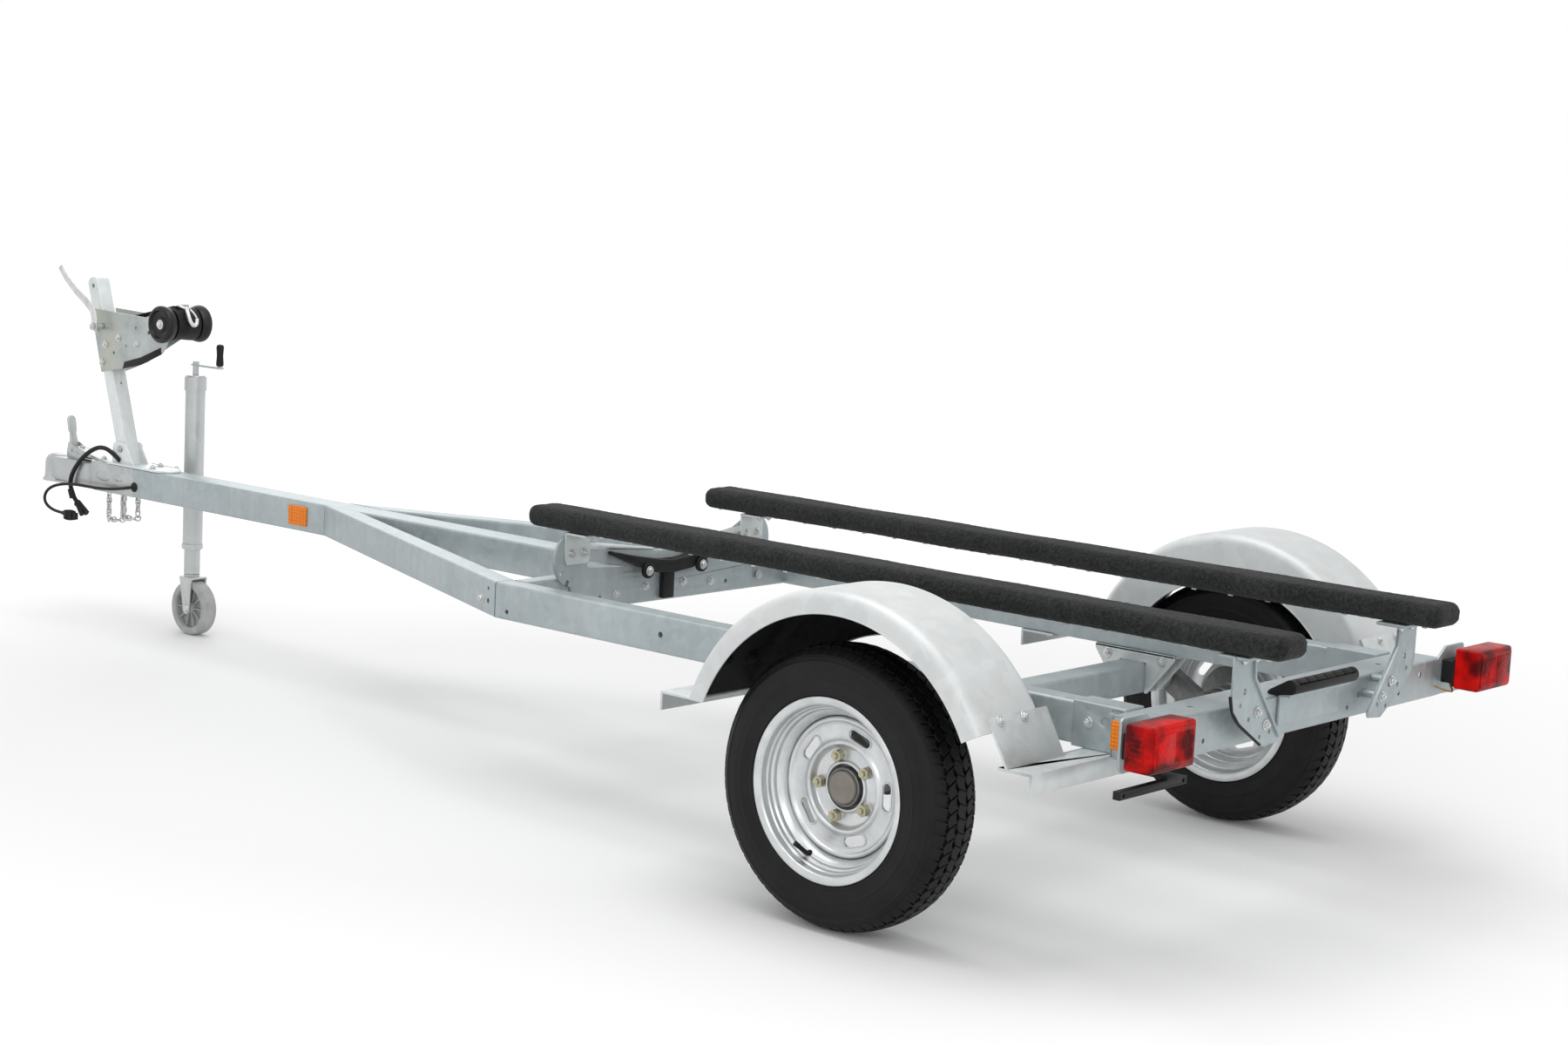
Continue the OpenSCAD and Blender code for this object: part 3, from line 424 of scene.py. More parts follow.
# Zinc: grey with faint crystal patches and run marks, and a dull to satin shine
def zinc(name, dark, pale, shine, metal=0.55, patch=60.0, run=1.0):
    material, place = new_finish(name)
    crystal = place.cells(patch, out=1).parts()[0]
    cloud = place.noise(7.0, 4.0, 0.6)
    streak = place.stretch(30, 30, 2.2).noise(1.0, 3.0, 0.6)
    speck = place.noise(320.0, 2.0)
    tone = crystal * 0.3 + cloud.over(0.3, 0.7) * 0.38 + streak.over(0.3, 0.7) * 0.24 * run + speck * 0.14
    cool = streak.over(0.45, 0.75).tint((1, 1, 1), (0.95, 1.0, 1.005))
    shade = tone.tint(dark, pale)
    shade = place.node("Mix", {"data_type": "RGBA", "blend_type": "MULTIPLY"}, {0: 1.0, 6: shade, 7: cool}, 2)
    set_finish(material, crystal * 0.3 + speck * 0.7, 0.00012, Base_Color=shade, Metallic=metal,
               Roughness=cloud * 0.18 + crystal * 0.1 + shine)
    return material


galvanised = zinc("galvanised", (0.285, 0.33, 0.345), (0.47, 0.51, 0.52), 0.34)
pale_zinc = zinc("pale_zinc", (0.50, 0.53, 0.53), (0.68, 0.70, 0.70), 0.34)

tx0, tx1, ty0, ty1, tz0, tz1 = reach("tongue")
tongue = tube(block("tongue_tube", (tx0, ty0, tz0), (tx1, ty1, tz1)), open_ways=[(1, 0, 0)])
drill(tongue, hole(2790, 0, tz0, "z", 7), hole(2860, 0, tz0, "z", 7), hole(1500, 0, tz0, "z", 9))
wear(tongue, galvanised, "galvanised", "tongue")

seam = 2.5
rx0, rx1, ry0, ry1, rz0, rz1 = reach("left_rail")
rail = tube(block("left_rail_tube", (rx0 + 2, ry0, rz0), (rx1 - seam, ry1, rz1)))
drill(rail, hole(640, ry1, 412, "y", 6), hole(1075, ry1, 392, "y", 5), hole(300, ry0, 412, "y", 7),
    hole(860, 432, rz0, "z", 8))
wear_both(rail, galvanised, "galvanised", "left_rail")

dx0, dx1, _, dy1, dz0, dz1 = reach("left_drawbar")
flare = (dy1 - ty1) / (dx1 - dx0)
inner_y = dy1 - (ry1 - ry0) * sqrt(1 + flare * flare)
angled = [(dx0, dy1), (dx1, ty1), (dx0 + (inner_y - ty1) / flare, ty1), (dx0, inner_y)]
drawbar = tube(outline("left_drawbar_tube", angled, (dz0, dz1)))
drill(drawbar, hole(dx0 + 34, dy1 - 12, 404, "y", 5.5), hole(dx0 + 34, dy1 - 12, 430, "y", 4))
wear_both(drawbar, galvanised, "galvanised", "left_drawbar")

# Weld beads where the angled rails meet the tongue
beads = []
for corner_x, back in ((dx1, -1), (dx0 + (inner_y - ty1) / flare, 1)):
    shift = 3 if back > 0 else -3
    for y in (1, -1):
        beads.append(bent_rod("bead", [(corner_x + shift, y * (ty1 + 1), dz0 + 4),
            (corner_x + shift, y * (ty1 + 1.5), dz0 + 38), (corner_x + shift, y * (ty1 + 1), dz1 - 4)], 3.6))
wear(joined("frame_welds", *beads), galvanised, "galvanised")

# Sleeves round the rails' rear ends, with a slot and a bolt hole ahead of the reflector
sx0, sx1, _, sy1, sz0, sz1 = reach("rail_sleeves")
sleeve_in = ry0 - (sy1 - ry1)
sleeve = block("left_rail_sleeve", (sx0, sleeve_in, sz0), (sx1, sy1, sz1))
drill(sleeve, hole(sx0 + 44, sy1, 423, "y", 7, 5), block("slot", (sx0 + 7, sy1 - 5, sz1 - 11),
    (sx0 + 30, sy1 + 4, sz1 - 6)))
edges(sleeve, 3.5, 3)
wear_both(sleeve, galvanised, "galvanised", "rail_sleeves")

cx0, cx1, _, plate_out, _, plate_top = reach("rear_cross_member")
cz0, cz1 = frame_bottom, frame_top
rear_half = reach("left_tail_light")[2]
rear_member = tube(block("rear_cross_tube", (cx0, -rear_half, cz0), (cx1, rear_half, cz1)),
    open_ways=[(0, 1, 0), (0, -1, 0)])
drill(rear_member, *(hole(cx0, y, z, "x", r, 6) for y, z, r in ((425, 425, 5.5), (345, 398, 4.5),
    (190, 415, 6), (150, 395, 4.5), (60, 436, 4.5), (-60, 436, 4.5), (-150, 395, 4.5), (-190, 415, 6),
    (-345, 398, 4.5), (-425, 425, 5.5))), *(hole(-500, y, cz1, "z", 6, 6) for y in (330, 120, -120, -330)))
ends = []
for s in (1, -1):
    ends.append(outline("lamp_plate", [(s * (rear_half - 8), cz0 + 3), (s * (plate_out - 10), cz0 + 1),
        (s * plate_out, cz0 + 11), (s * plate_out, plate_top - 5), (s * (plate_out - 5), plate_top),
        (s * (rear_half + 24), plate_top), (s * (rear_half - 8), cz1 - 3)], (cx0 + 0.2, cx0 + 6), "x"))
    y0, y1 = sorted((s * (rear_half - 3), s * rear_half))
    ends.append(block("reflector_tab", (cx1 - 42, y0, cz0 + 2), (cx1 - 1, y1, cz1 - 2)))
wear(edges(joined("rear_cross_ends", *ends), 1), galvanised, "galvanised")
wear(rear_member, galvanised, "galvanised", "rear_cross_member")
fx0, fx1, fy0, fy1, fz0, fz1 = reach("front_cross_member")
front_member = tube(block("front_cross_tube", (fx0, fy0, fz0), (fx1, fy1, fz1)))
wear(front_member, galvanised, "galvanised", "front_cross_member")

# Hex bolts: a washer, a head and the shank's end
def bolt(x, y, z, way, across=13, high=7):
    """A hex bolt head with its washer and shank, way being the direction that it points out."""
    foot = Vector((x, y, z))
    return [rod(name, foot, foot + Vector(way) * out, across * r, sides) for name, out, r, sides in (
        ("head", high, 1 / 1.732, 6), ("washer", 1.8, 0.82, 24), ("shank", high + 3, 0.28, 12))]


def bolts(name, *places, across=13, high=7, material=None, slot="bright_zinc"):
    """One piece of all the bolts that hold a part."""
    heads = [part for p in places for part in bolt(*p[:3], p[3], across, high)]
    return wear(edges(joined(name, *heads), 0.6, 1, 40), material or bright_zinc, slot)


def two_tone(name, tone, dark, pale, rough, pits=None, height=0.0002, spread=None, **values):
    """A finish of two shades that a noise mixes, with its roughness from the same noise and fine pits."""
    material, place = new_finish(name)
    mix = place.noise(*tone)
    shade = mix.over(*spread) if spread else mix
    set_finish(material, place.noise(*pits) if pits else mix, height, Base_Color=shade.tint(dark, pale),
               Roughness=mix * rough[0] + rough[1], **values)
    return material


bright_zinc = two_tone("bright_zinc", (55.0, 4.0, 0.6), (0.50, 0.51, 0.50), (0.70, 0.71, 0.71), (0.2, 0.2),
                       (500.0, 2.0), 0.00008, (0.3, 0.75), Metallic=0.85)
dark_steel, place = new_finish("dark_steel")
stain = place.noise(90.0, 3.0)
set_finish(dark_steel, stain, 0.0002, Base_Color=stain.tint((0.10, 0.10, 0.10), (0.24, 0.24, 0.235)),
    Metallic=0.7, Roughness=0.45)

bolts("rail_bolts",
      *((dx0 + 66, s * (dy1 - 27), dz0 + 30, (0.37, s * 0.93, 0)) for s in (1, -1)),
      *((sx1 - 34, s * sy1, 418, (0, s, 0)) for s in (1, -1)), across=12)

# Front bolster and keel block
# A 6 mm galvanised plate bolted behind the front cross member, round at its ends and low
# in the middle, with two pressed ribs a side, made paler as painted highlight. A black rubber
# block on it carries the keel.
bx0, bx1, _, by1, bz0, bz1 = reach("front_bolster")
end_r = 60


def arc(cx, cy, r, start, end, steps):
    """Points on a circle, the angles in degrees."""
    return [(cx + r * cos(radians(start + (end - start) * i / steps)),
             cy + r * sin(radians(start + (end - start) * i / steps))) for i in range(steps + 1)]


half = [(0, bz0), (by1 - end_r, bz0 + 10)] + arc(by1 - end_r, bz1 - end_r, end_r, -90, 90, 20)[1:] + [
    (205, 513), (145, 503), (60, 490), (0, 486)]
whole = half + [(-y, z) for y, z in reversed(half[1:-1])]
bolster = outline("front_bolster_plate", whole, (bx0, bx1), "x")
drill(bolster, *(hole(bx0, s * y, z, "x", r, 12) for s in (1, -1) for y, z, r in (
    (90, 497, 5), (318, 462, 5), (300, 440, 6), (200, 400, 4.5), (232, 536, 4))))
edges(bolster, 1.2, 2)
ribs = []
for s in (1, -1):
    for start, end, r in (((262, 517), (40, 492), 9), ((236, 474), (130, 462), 8)):
        a, b = (bx0 + 3, s * start[0], start[1]), (bx0 + 3, s * end[0], end[1])
        ribs.append(rod("rib", a, b, r, 24, 3))
        bpy.ops.mesh.primitive_uv_sphere_add(segments=24, ring_count=12, radius=r / 1000, location=spot(*a))
        ribs.append(settle("rib_end"))
ribs = smooth(joined("front_bolster_ribs_painted_highlight", *ribs))
wear(bolster, galvanised, "galvanised", "front_bolster")
# Painted highlight: the ribs are the plate's own galvanised sheet, given the paler zinc where their tops
# catch the light.
wear(ribs, pale_zinc, "galvanised")

rubber = two_tone("black_rubber", (40.0, 4.0, 0.6), (0.004, 0.004, 0.0045), (0.017, 0.017, 0.018),
    (0.25, 0.42), (700.0, 2.0), spread=(0.35, 0.8), Specular_IOR_Level=0.25)

kx0, kx1, _, _, kz0, kz1 = reach("front_keel_pad")
wings = [(0, 440), (60, 446), (105, 462), (178, 490), (184, 496), (178, 499), (120, 486), (40, 472), (0, 468)]
wing = outline("a", wings + [(-y, z) for y, z in reversed(wings[1:-1])], (kx0 + 8, kx1 - 0.5), "x")
edges(wing, 2.5, 2)
pads = [wing, edges(block("strap", (kx1 - 14, -17, kz0), (kx1 - 0.5, 17, 470)), 2)]
for s in (1, -1):
    pads.append(edges(rod("boss", (kx0 + 2, s * 85, 452), (kx0 + 12, s * 85, 452), 17, 40), 2.5, 3))
keel = smooth(joined("front_keel_rubber", *pads))
wear(keel, rubber, "black_rubber", "front_keel_pad")
bolts("keel_bolts",
      *((kx0 + 2, s * 85, 452, (-1, 0, 0)) for s in (1, -1)), across=13, high=6)
bolts("bolster_bolts", *((bx0, s * y, z, (-1, 0, 0)) for s in (1, -1) for y,
    z in ((150, 404), (60, 412), (312, 404))), across=12, high=6)

# Angles under the front ends of the bunks
ax0, ax1, _, ay1, az0, az1 = reach("front_bunk_brackets")
half_w = 37
mid = ay1 - half_w
leg = outline("leg", [(mid - half_w + 6, az0), (mid + half_w - 6, az0), (mid + half_w, az0 + 10),
    (mid + half_w, az1), (mid - half_w, az1), (mid - half_w, az0 + 10)], (ax1 - 5, ax1 - 0.3), "x")
ledge = block("ledge", (ax0, mid - half_w, az1 - 5), (ax1 - 0.3, mid + half_w, az1))
drill(ledge, hole(ax0 + 20, mid - 14, az1, "z", 5, 9), hole(ax0 + 20, mid + 14, az1, "z", 5, 9))
bracket = joined("left_front_bunk_bracket", leg, ledge)
edges(bracket, 1.2)
wear_both(bracket, pale_zinc, "galvanised", "front_bunk_brackets")
bolts("front_bunk_bolts", *((ax1 - 5, s * (mid + d), az0 + 24, (-1, 0, 0)) for s in (1, -1)
    for d in (-18, 18)), *((ax0 + 20, s * (mid + d), az1 - 5, (0, 0, -1)) for s in (1, -1)
    for d in (-14, 14)), across=12, high=6)

# Rear bunk brackets
# Leaning gusset plates, each with a flange along its inner edge, that stand off the rear
# cross member on two studs. A ledge on top carries the bunk, screwed to it from below.
qx0, _, _, _, qz0, qz1 = reach("rear_bunk_brackets")
bunk_mid = sum(reach("left_bunk")[2:4]) / 2
px = cx0
stand_off = 34
plate_x = px - stand_off
gusset_z = qz0 + 20
inner_edge = [(bunk_mid - 19, qz1), (bunk_mid - 24, qz1 - 44), (bunk_mid - 118, gusset_z + 14)]
lean = inner_edge + [(bunk_mid - 114, gusset_z + 4), (bunk_mid - 70, gusset_z),
    (bunk_mid - 36, gusset_z + 20), (bunk_mid + 16, gusset_z + 52), (bunk_mid + 40, gusset_z + 76),
    (bunk_mid + 47, gusset_z + 102), (bunk_mid + 47, qz1)]
rear_plate = outline("plate", lean, (plate_x - 5, plate_x), "x")
drill(rear_plate, *(hole(plate_x - 5, bunk_mid + y, gusset_z + z, "x", r, 12) for y, z, r in (
    (8, 108, 5.5), (18, 84, 4), (-44, 60, 4.5), (-12, 56, 4), (-84, 26, 4.5), (-52, 20, 4))))
flange = outline("flange", inner_edge + [(y + 5, z - 2) for y, z in reversed(inner_edge)],
    (plate_x - 9, plate_x + 1), "x")
studs = [rod("stud", (plate_x - 1, bunk_mid + y, gusset_z + z), (px - 0.3, bunk_mid + y, gusset_z + z), 8, 24)
    for y, z in ((-70, 40), (-38, 66))]
shelf = block("shelf", (qx0, bunk_mid - 42, qz1 - 6), (px - 0.3, bunk_mid + 42, qz1))
rear_bracket = edges(joined("left_rear_bunk_bracket", rear_plate, flange, shelf, *studs), 1.0)
wear_both(rear_bracket, galvanised, "galvanised", "rear_bunk_brackets")
bolts("rear_bunk_bolts", *((plate_x - 5, s * (bunk_mid + y), gusset_z + z, (-1, 0, 0)) for s in (1, -1) for y,
    z in ((-70, 40), (-38, 66))), *((qx0 + 18, s * (bunk_mid + d), qz1 - 6, (0, 0, -1)) for s in (1, -1)
    for d in (-20, 20)), across=12, high=6)
# Painted shade: a thin black cord along the left plate's slanted outer edge stands in for the dark gap
# between the plate and the cross member.
shade_cord_line = [(46, 106), (42, 84), (20, 56), (-32, 26), (-62, 8)]
wire = bent_rod("bracket_shade_cord", [(plate_x - 1, bunk_mid + y + 2, gusset_z + z - 3) for y, z in shade_cord_line], 3)
wear(wire, cable_black, "cable_black")

# Rear keel block
# A black moulded rubber roll, grooved across, over the rear edge of the rear cross member.
# A short galvanised plate on the member's rear face holds it.
gx0, gx1, gy0, gy1, _, gz1 = reach("rear_keel_pad")
roll_x, roll_z = gx0 + 16, gz1 - 11
roll_end = gy1 - 16
body_line = arc(roll_x, roll_z, 13.5, 65, 250, 14) + [(px + 2, cz1 + 0.5), (px + 14, cz1 + 0.5),
    (gx1, cz1 + 1), (gx1, cz1 + 5), (px + 14, cz1 + 9)]
roll = outline("rear_keel_rubber", body_line, (-roll_end, roll_end), "y")
roll = drill(roll, *(block("groove", (px - 46, y - 1.2, cz1 + 24), (px + 2, y + 1.2, cz1 + 40))
    for y in (-96, -64, -32, 0, 32, 64, 96)))
edges(roll, 2.0, 2, 40)
wear(roll, rubber, "black_rubber", "rear_keel_pad")
wear(edges(joined("rear_keel_plate", block("a", (px - 6, gy0 + 22, cz0 + 20), (px - 0.4, gy1 - 22, cz1 + 6)),
    block("b", (px - 26, gy0 + 22, cz1 - 2), (px - 0.4, gy1 - 22, cz1 + 4))), 1.2), galvanised, "galvanised")

# Bunks
# Two boards wrapped in charcoal looped carpet. The carpet is pulled tight round the long
# edges, folded in at the ends and stapled underneath.
carpet, place = new_finish("bunk_carpet")
loop = place.noise(420.0, 3.0, 0.7)
tuft = place.cells(260.0)
worn = place.noise(9.0, 4.0, 0.65)
fleck = place.noise(130.0, 3.0, 0.7)
shade = (loop.over(0.3, 0.7) * 0.35 + fleck.over(0.42, 0.66) * 0.4
    + worn.over(0.35, 0.7) * 0.25).tint((0.002, 0.0023, 0.0022), (0.046, 0.050, 0.047))
set_finish(carpet, loop * 0.6 + tuft * 0.8 + fleck * 0.5, 0.0016, Base_Color=shade, Roughness=worn * 0.08
    + 0.9, Sheen_Weight=0.08, Sheen_Roughness=0.6, Specular_IOR_Level=0.08)

ux0, ux1, uy0, uy1, uz0, uz1 = reach("left_bunk")
bunk = block("left_bunk_carpet", (ux0, uy0, uz0), (ux1, uy1, uz1))
bpy.ops.object.mode_set(mode="EDIT")
bpy.ops.mesh.select_all(action="SELECT")
bpy.ops.object.mode_set(mode="OBJECT")
for edge in bunk.data.edges:
    a, b = (bunk.data.vertices[i].co for i in edge.vertices)
    edge.select = abs(a.z - b.z) > 0.02
bpy.ops.object.mode_set(mode="EDIT")
bpy.ops.mesh.select_mode(type="EDGE")
bpy.ops.mesh.bevel(offset=0.02, segments=6)
bpy.ops.mesh.select_mode(type="VERT")
bpy.ops.object.mode_set(mode="OBJECT")
edges(bunk, 11, 4, 60)
modify(bunk, "REMESH", mode="VOXEL", voxel_size=0.006)
draw = Random(7)
waves = [(draw.uniform(0, 6.3), draw.uniform(4, 11), draw.uniform(0.25, 0.6)) for _ in range(7)]
for vertex, way in zip(bunk.data.vertices, [v.normal.copy() for v in bunk.data.vertices]):
    x, y, z = vertex.co
    swell = sum(h * sin(f * x * 2 + 40 * y + 55 * z + p) for p, f, h in waves)
    knot = sin(x * 410 + 3 * sin(y * 190)) * sin(y * 377 + x * 13) * sin(z * 398 + 2 * sin(x * 171))
    vertex.co += way * (swell * 0.0004 + knot * 0.0007 - 0.0012)
smooth(bunk, 80)
wear_both(bunk, carpet, "carpeted_board", "left_bunk")
staples = []
for i in range(22):
    x = ux0 + 40 + i * (ux1 - ux0 - 80) / 21
    for y in (uy0 + 22, uy1 - 22):
        if abs(x - ax0 - 25) > 60 and abs(x - qx0 - 30) > 60:
            staples.append(block("staple", (x - 5, y - 0.7, uz0 - 0.9), (x + 5, y + 0.7, uz0 + 1.5)))
wear_both(joined("left_bunk_staples", *staples), bright_zinc, "bright_zinc")

# Torsion axle
# A square tube hung under both rails on pressed brackets, with a forged trailing arm and
# spindle at each end. The arms rest at one angle, as the rubber inside holds them.
hx0, hx1, hy0, hy1, hz0, hz1 = reach("axle_tube")
beam = tube(block("axle_beam", (hx0, hy0, hz0), (hx1, hy1, hz1)), 5, 9)
wear(beam, galvanised, "galvanised", "axle_tube")
collars = [edges(rod("collar", (hx0 + 32, s * (hy1 - 34), hz0 + 32), (hx0 + 32, s * (hy1 - 4), hz0 + 32), 41,
    48), 2) for s in (1, -1)]
wear(joined("axle_collars", *collars), galvanised, "galvanised")

jx0, jx1, _, jy1, jz0, jz1 = reach("axle_brackets")
sides = []
for y0 in (ry0, jy1 - 6):
    cheek = outline("cheek", [(jx0, jz1), (jx0, jz1 - 10), (hx0 - 12, jz0 + 8), (hx0 - 6, jz0),
        (hx1 + 6, jz0), (hx1 + 12, jz0 + 8), (jx1, jz1 - 10), (jx1, jz1)], (y0, y0 + 6), "y")
    drill(cheek, block("mouth", (hx0, y0 - 4, jz0 - 5), (hx1, y0 + 10, hz1)),
        hole(jx0 + 30, y0, jz1 - 16, "y", 6), hole(jx1 - 30, y0, jz1 - 16, "y", 6))
    sides.append(cheek)
sides.append(block("top", (jx0, ry0, jz1 - 6), (jx1, jy1, jz1 - 0.3)))
hanger = edges(joined("left_axle_hanger", *sides), 1.2)
wear_both(hanger, pale_zinc, "galvanised", "axle_brackets")
bolts("axle_bolts", *((x, s * y, jz1 - 16, (0, s * w, 0)) for s in (1, -1) for x in (jx0 + 30, jx1 - 30)
    for y, w in ((jy1, 1), (ry0, -1))), across=14)


def from_node(name, node, width):
    """A copy of a node's shape with its loose triangles merged and its edges rounded."""
    piece = pick(in_scene(name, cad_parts[node].data.copy()))
    edit_all()
    bpy.ops.mesh.remove_doubles(threshold=0.00001)
    bpy.ops.mesh.dissolve_limited(angle_limit=radians(0.5))
    bpy.ops.object.mode_set(mode="OBJECT")
    return edges(piece, width)


for side_name in ("left", "right"):
    arm = from_node(f"{side_name}_arm_forging", f"{side_name}_torsion_arm", 1.5)
    wear(arm, dark_steel, "hub_steel", f"{side_name}_torsion_arm")

# Wheels
# 12 inch steel wheels, zinc finished: a rolled rim with stepped bead seats, and a pressed
# disc with five vents and a raised bolt ring, held by five nuts over a greased hub.
_, _, wy0, wy1, wz0, wz1 = reach("left_tyre")
wheel_y, wheel_z = (wy0 + wy1) / 2, (wz0 + wz1) / 2


def turned(name, profile, steps=96, centre=(0.0, wheel_y, wheel_z), axis="y"):
    """Spins a closed line of (radius, distance along the axis) about an axis."""
    way = {"y": lambda r, d: Vector((0, d, r)) / 1000, "x": lambda r, d: Vector((d, 0, r)) / 1000,
           "z": lambda r, d: Vector((r, 0, d)) / 1000}[axis]
    middle = spot(*centre)
    bpy.ops.object.select_all(action="DESELECT")
    bpy.ops.mesh.primitive_plane_add(size=0.001, location=middle + way(*profile[0]))
    piece = bpy.context.object
    edit_all()
    bpy.ops.mesh.merge(type="CENTER")
    for a, b in zip(profile, profile[1:] + profile[:1]):
        bpy.ops.mesh.extrude_vertices_move(TRANSFORM_OT_translate={"value": way(*b) - way(*a)})
    bpy.ops.mesh.select_all(action="SELECT")
    bpy.ops.mesh.remove_doubles(threshold=0.000005)
    bpy.ops.mesh.select_all(action="SELECT")
    bpy.ops.mesh.spin(steps=steps, angle=2 * pi, center=middle,
        axis={"y": (0, 1, 0), "x": (1, 0, 0), "z": (0, 0, 1)}[axis])
    bpy.ops.mesh.select_all(action="SELECT")
    bpy.ops.mesh.remove_doubles(threshold=0.000005)
    bpy.ops.mesh.normals_make_consistent(inside=False)
    bpy.ops.object.mode_set(mode="OBJECT")
    return smooth(settle(name), 30)


def on_wheel(radius, angle, out):
    """A place on the left wheel: the angle runs from ahead, upwards, in degrees."""
    return (radius * cos(radians(angle)), wheel_y + out, wheel_z + radius * sin(radians(angle)))


def pushed(points, amount):
    """Each inner point of a closed profile as two, so that its corner is rounded."""
    out = []
    for i, p in enumerate(points):
        a, b = Vector(points[i - 1]), Vector(points[(i + 1) % len(points)])
        p = Vector(p)
        back, on = (a - p), (b - p)
        c = min(amount, back.length * 0.4, on.length * 0.4)
        p0, p1 = p + back.normalized() * c, p + on.normalized() * c
        mid = (p0 + p1) / 4 + p / 2
        out += [tuple(p0), tuple(mid), tuple(p1)]
    return out


rim_zinc, place = new_finish("rim_zinc")
brush = place.stretch(1, 6, 1).noise(24.0, 4.0, 0.6)
grit = place.noise(420.0, 2.0)
set_finish(rim_zinc, grit, 0.00010, Base_Color=(brush.over(0.3, 0.75) * 0.7
    + grit * 0.3).tint((0.50, 0.52, 0.53), (0.74, 0.755, 0.76)), Metallic=0.8, Roughness=brush * 0.16 + 0.24)

# The rim's closed section, from the outer flange over the visible side to the inner flange
barrel = [(168, 58.2), (168, 61), (166.5, 62), (161, 62), (156, 60.5), (152.5, 57.5), (151, 52), (150.5, 46),
    (147.5, 43.5), (146.5, 37), (142.5, 34.5), (141.5, 27), (137.5, 24), (133, 19), (129, 12), (127.5, 4),
    (127.5, -18), (131, -26), (139, -31), (146, -36), (148.5, -44), (149, -56), (152.5, -60.5), (160, -62),
    (168, -62), (168, -58.2), (157.5, -58.2), (153.5, -54), (152.5, -44), (150, -34), (142, -28), (134, -23),
    (131, -16), (131, 6), (133, 12), (138, 18), (144, 24), (146, 30), (149, 36), (152.5, 46), (153.5, 54),
    (157.5, 58.2)]
disc = [(128, 1), (127.5, 10), (125.5, 14.5), (122.5, 16), (119.5, 14.5), (117, 11), (112, 8.4), (102, 7.6),
    (92, 8), (87, 9.4), (84, 12.5), (80.5, 14.5), (77.5, 14), (75, 10.5), (73, 4), (70.5, 0.6), (66, -0.3),
    (50, -0.3), (47.5, 1.2), (46, 5.5), (43.5, 7), (41, 6), (39.5, 1), (39.5, -5), (42, -5), (50, -5),
    (70, -5), (76, -2), (79, 6), (82, 8), (86, 4.5), (92, 3.6), (102, 3.2), (112, 3.8), (118, 6), (122, 10),
    (123.5, 6), (124, 1)]


vent_r = 98


def vent_line(angle, out, half=15, r=10):
    """A round-ended slot's outline across the wheel's radius, as places."""
    line = []
    for along, up in [(half + r * cos(radians(t)), r * sin(radians(t))) for t in range(-90, 91, 20)] + \
            [(-half - r * cos(radians(t)), -r * sin(radians(t))) for t in range(-90, 91, 20)]:
        line.append(on_wheel(vent_r + up, angle + degrees(along / vent_r), out))
    return line


def face_out(piece):
    """Turns all faces of a piece the same way, outwards where it is closed."""
    pick(piece)
    edit_all()
    bpy.ops.mesh.normals_make_consistent(inside=False)
    bpy.ops.object.mode_set(mode="OBJECT")
    return piece


def ring_of(piece, count, *centre):
    """Copies of a piece, spaced evenly round a line along Y, that take its place."""
    about = Matrix.Translation(spot(*centre))
    copies = [in_scene(piece.name, piece.data.copy()) for _ in range(count)]
    for i, copy in enumerate(copies):
        copy.data.transform(about @ Matrix.Rotation(2 * pi * i / count, 4, "Y") @ about.inverted())
    bpy.data.objects.remove(piece)
    return copies


def wheel_plug(points_low, points_high):
    """A solid between two rings of places, for cutting."""
    count = len(points_low)
    mesh = bpy.data.meshes.new("plug")
    mesh.from_pydata([spot(*p) for p in points_low + points_high], [],
                     [list(range(count)), list(range(2 * count - 1, count - 1, -1))] +
                     [(i, (i + 1) % count, count + (i + 1) % count, count + i) for i in range(count)])
    return face_out(in_scene("plug", mesh))


stud_r, studs = 57.15, 5
stud_turn = 360 / studs
rim_barrel = turned("barrel", pushed(barrel, 1.4), 128)
rim_disc = turned("disc", pushed(disc, 1.2), 128)
cutters = [wheel_plug(vent_line(stud_turn * (i + 0.5), -14), vent_line(stud_turn * (i + 0.5), 24))
    for i in range(studs)]
for i in range(studs):
    cutters.append(rod("stud_hole", on_wheel(stud_r, stud_turn * i, -14), on_wheel(stud_r, stud_turn * i, 12),
        7.6, 24))
drill(rim_disc, *cutters)
smooth(rim_disc, 30)
rim_parts = [rim_barrel, rim_disc]
for i in range(studs):
    outer = vent_line(stud_turn * (i + 0.5), 8.2, 15.6, 10.6)
    rim_parts.append(bent_rod("lip", outer + outer[:1], 1.7, 2, False))
for i in range(studs):
    seat = [(7.4, -0.6), (11.5, -0.6), (11.5, 0.6), (10.6, 2.2), (8.6, 2.2), (7.4, 0.4)]
    rim_parts.append(turned("seat", seat, 24, on_wheel(stud_r, stud_turn * i, 0)))
rim = smooth(joined("left_rim_visual", *rim_parts), 30)

# Hub: greased cap, flange, five plated nuts on their studs
nut_plating = two_tone("nut_plating", (120.0, 3.0), (0.34, 0.31, 0.20), (0.58, 0.55, 0.42), (0.2, 0.28),
                       height=0.0001, Metallic=0.8)
cap_plating = two_tone("hub_cap_plating", (30.0, 4.0, 0.6), (0.16, 0.145, 0.125), (0.30, 0.275, 0.24),
    (0.25, 0.4), height=0.0003, Metallic=0.45)
flange = turned("flange", pushed([(31.5, -60), (31.5, -18), (36, -15.2), (72, -15), (72, -5.4), (32, -5.4),
    (32, -2), (17.2, -2), (17.2, -62), (30, -62)], 1), 64)
pilot = turned("pilot", [(35.5, -5.4), (35.5, 9), (34, 10.5), (31.5, 10.5), (31.5, -5.4)], 64)
hub_body = smooth(joined("left_hub_visual", flange, pilot), 30)
cap = turned("left_hub_cap", pushed([(0, -1.5), (30.4, -1.5), (30.4, 12), (28.5, 15.5), (24, 16.6),
    (22.5, 15.8), (0, 15.8)], 0.8), 64)
nuts = []
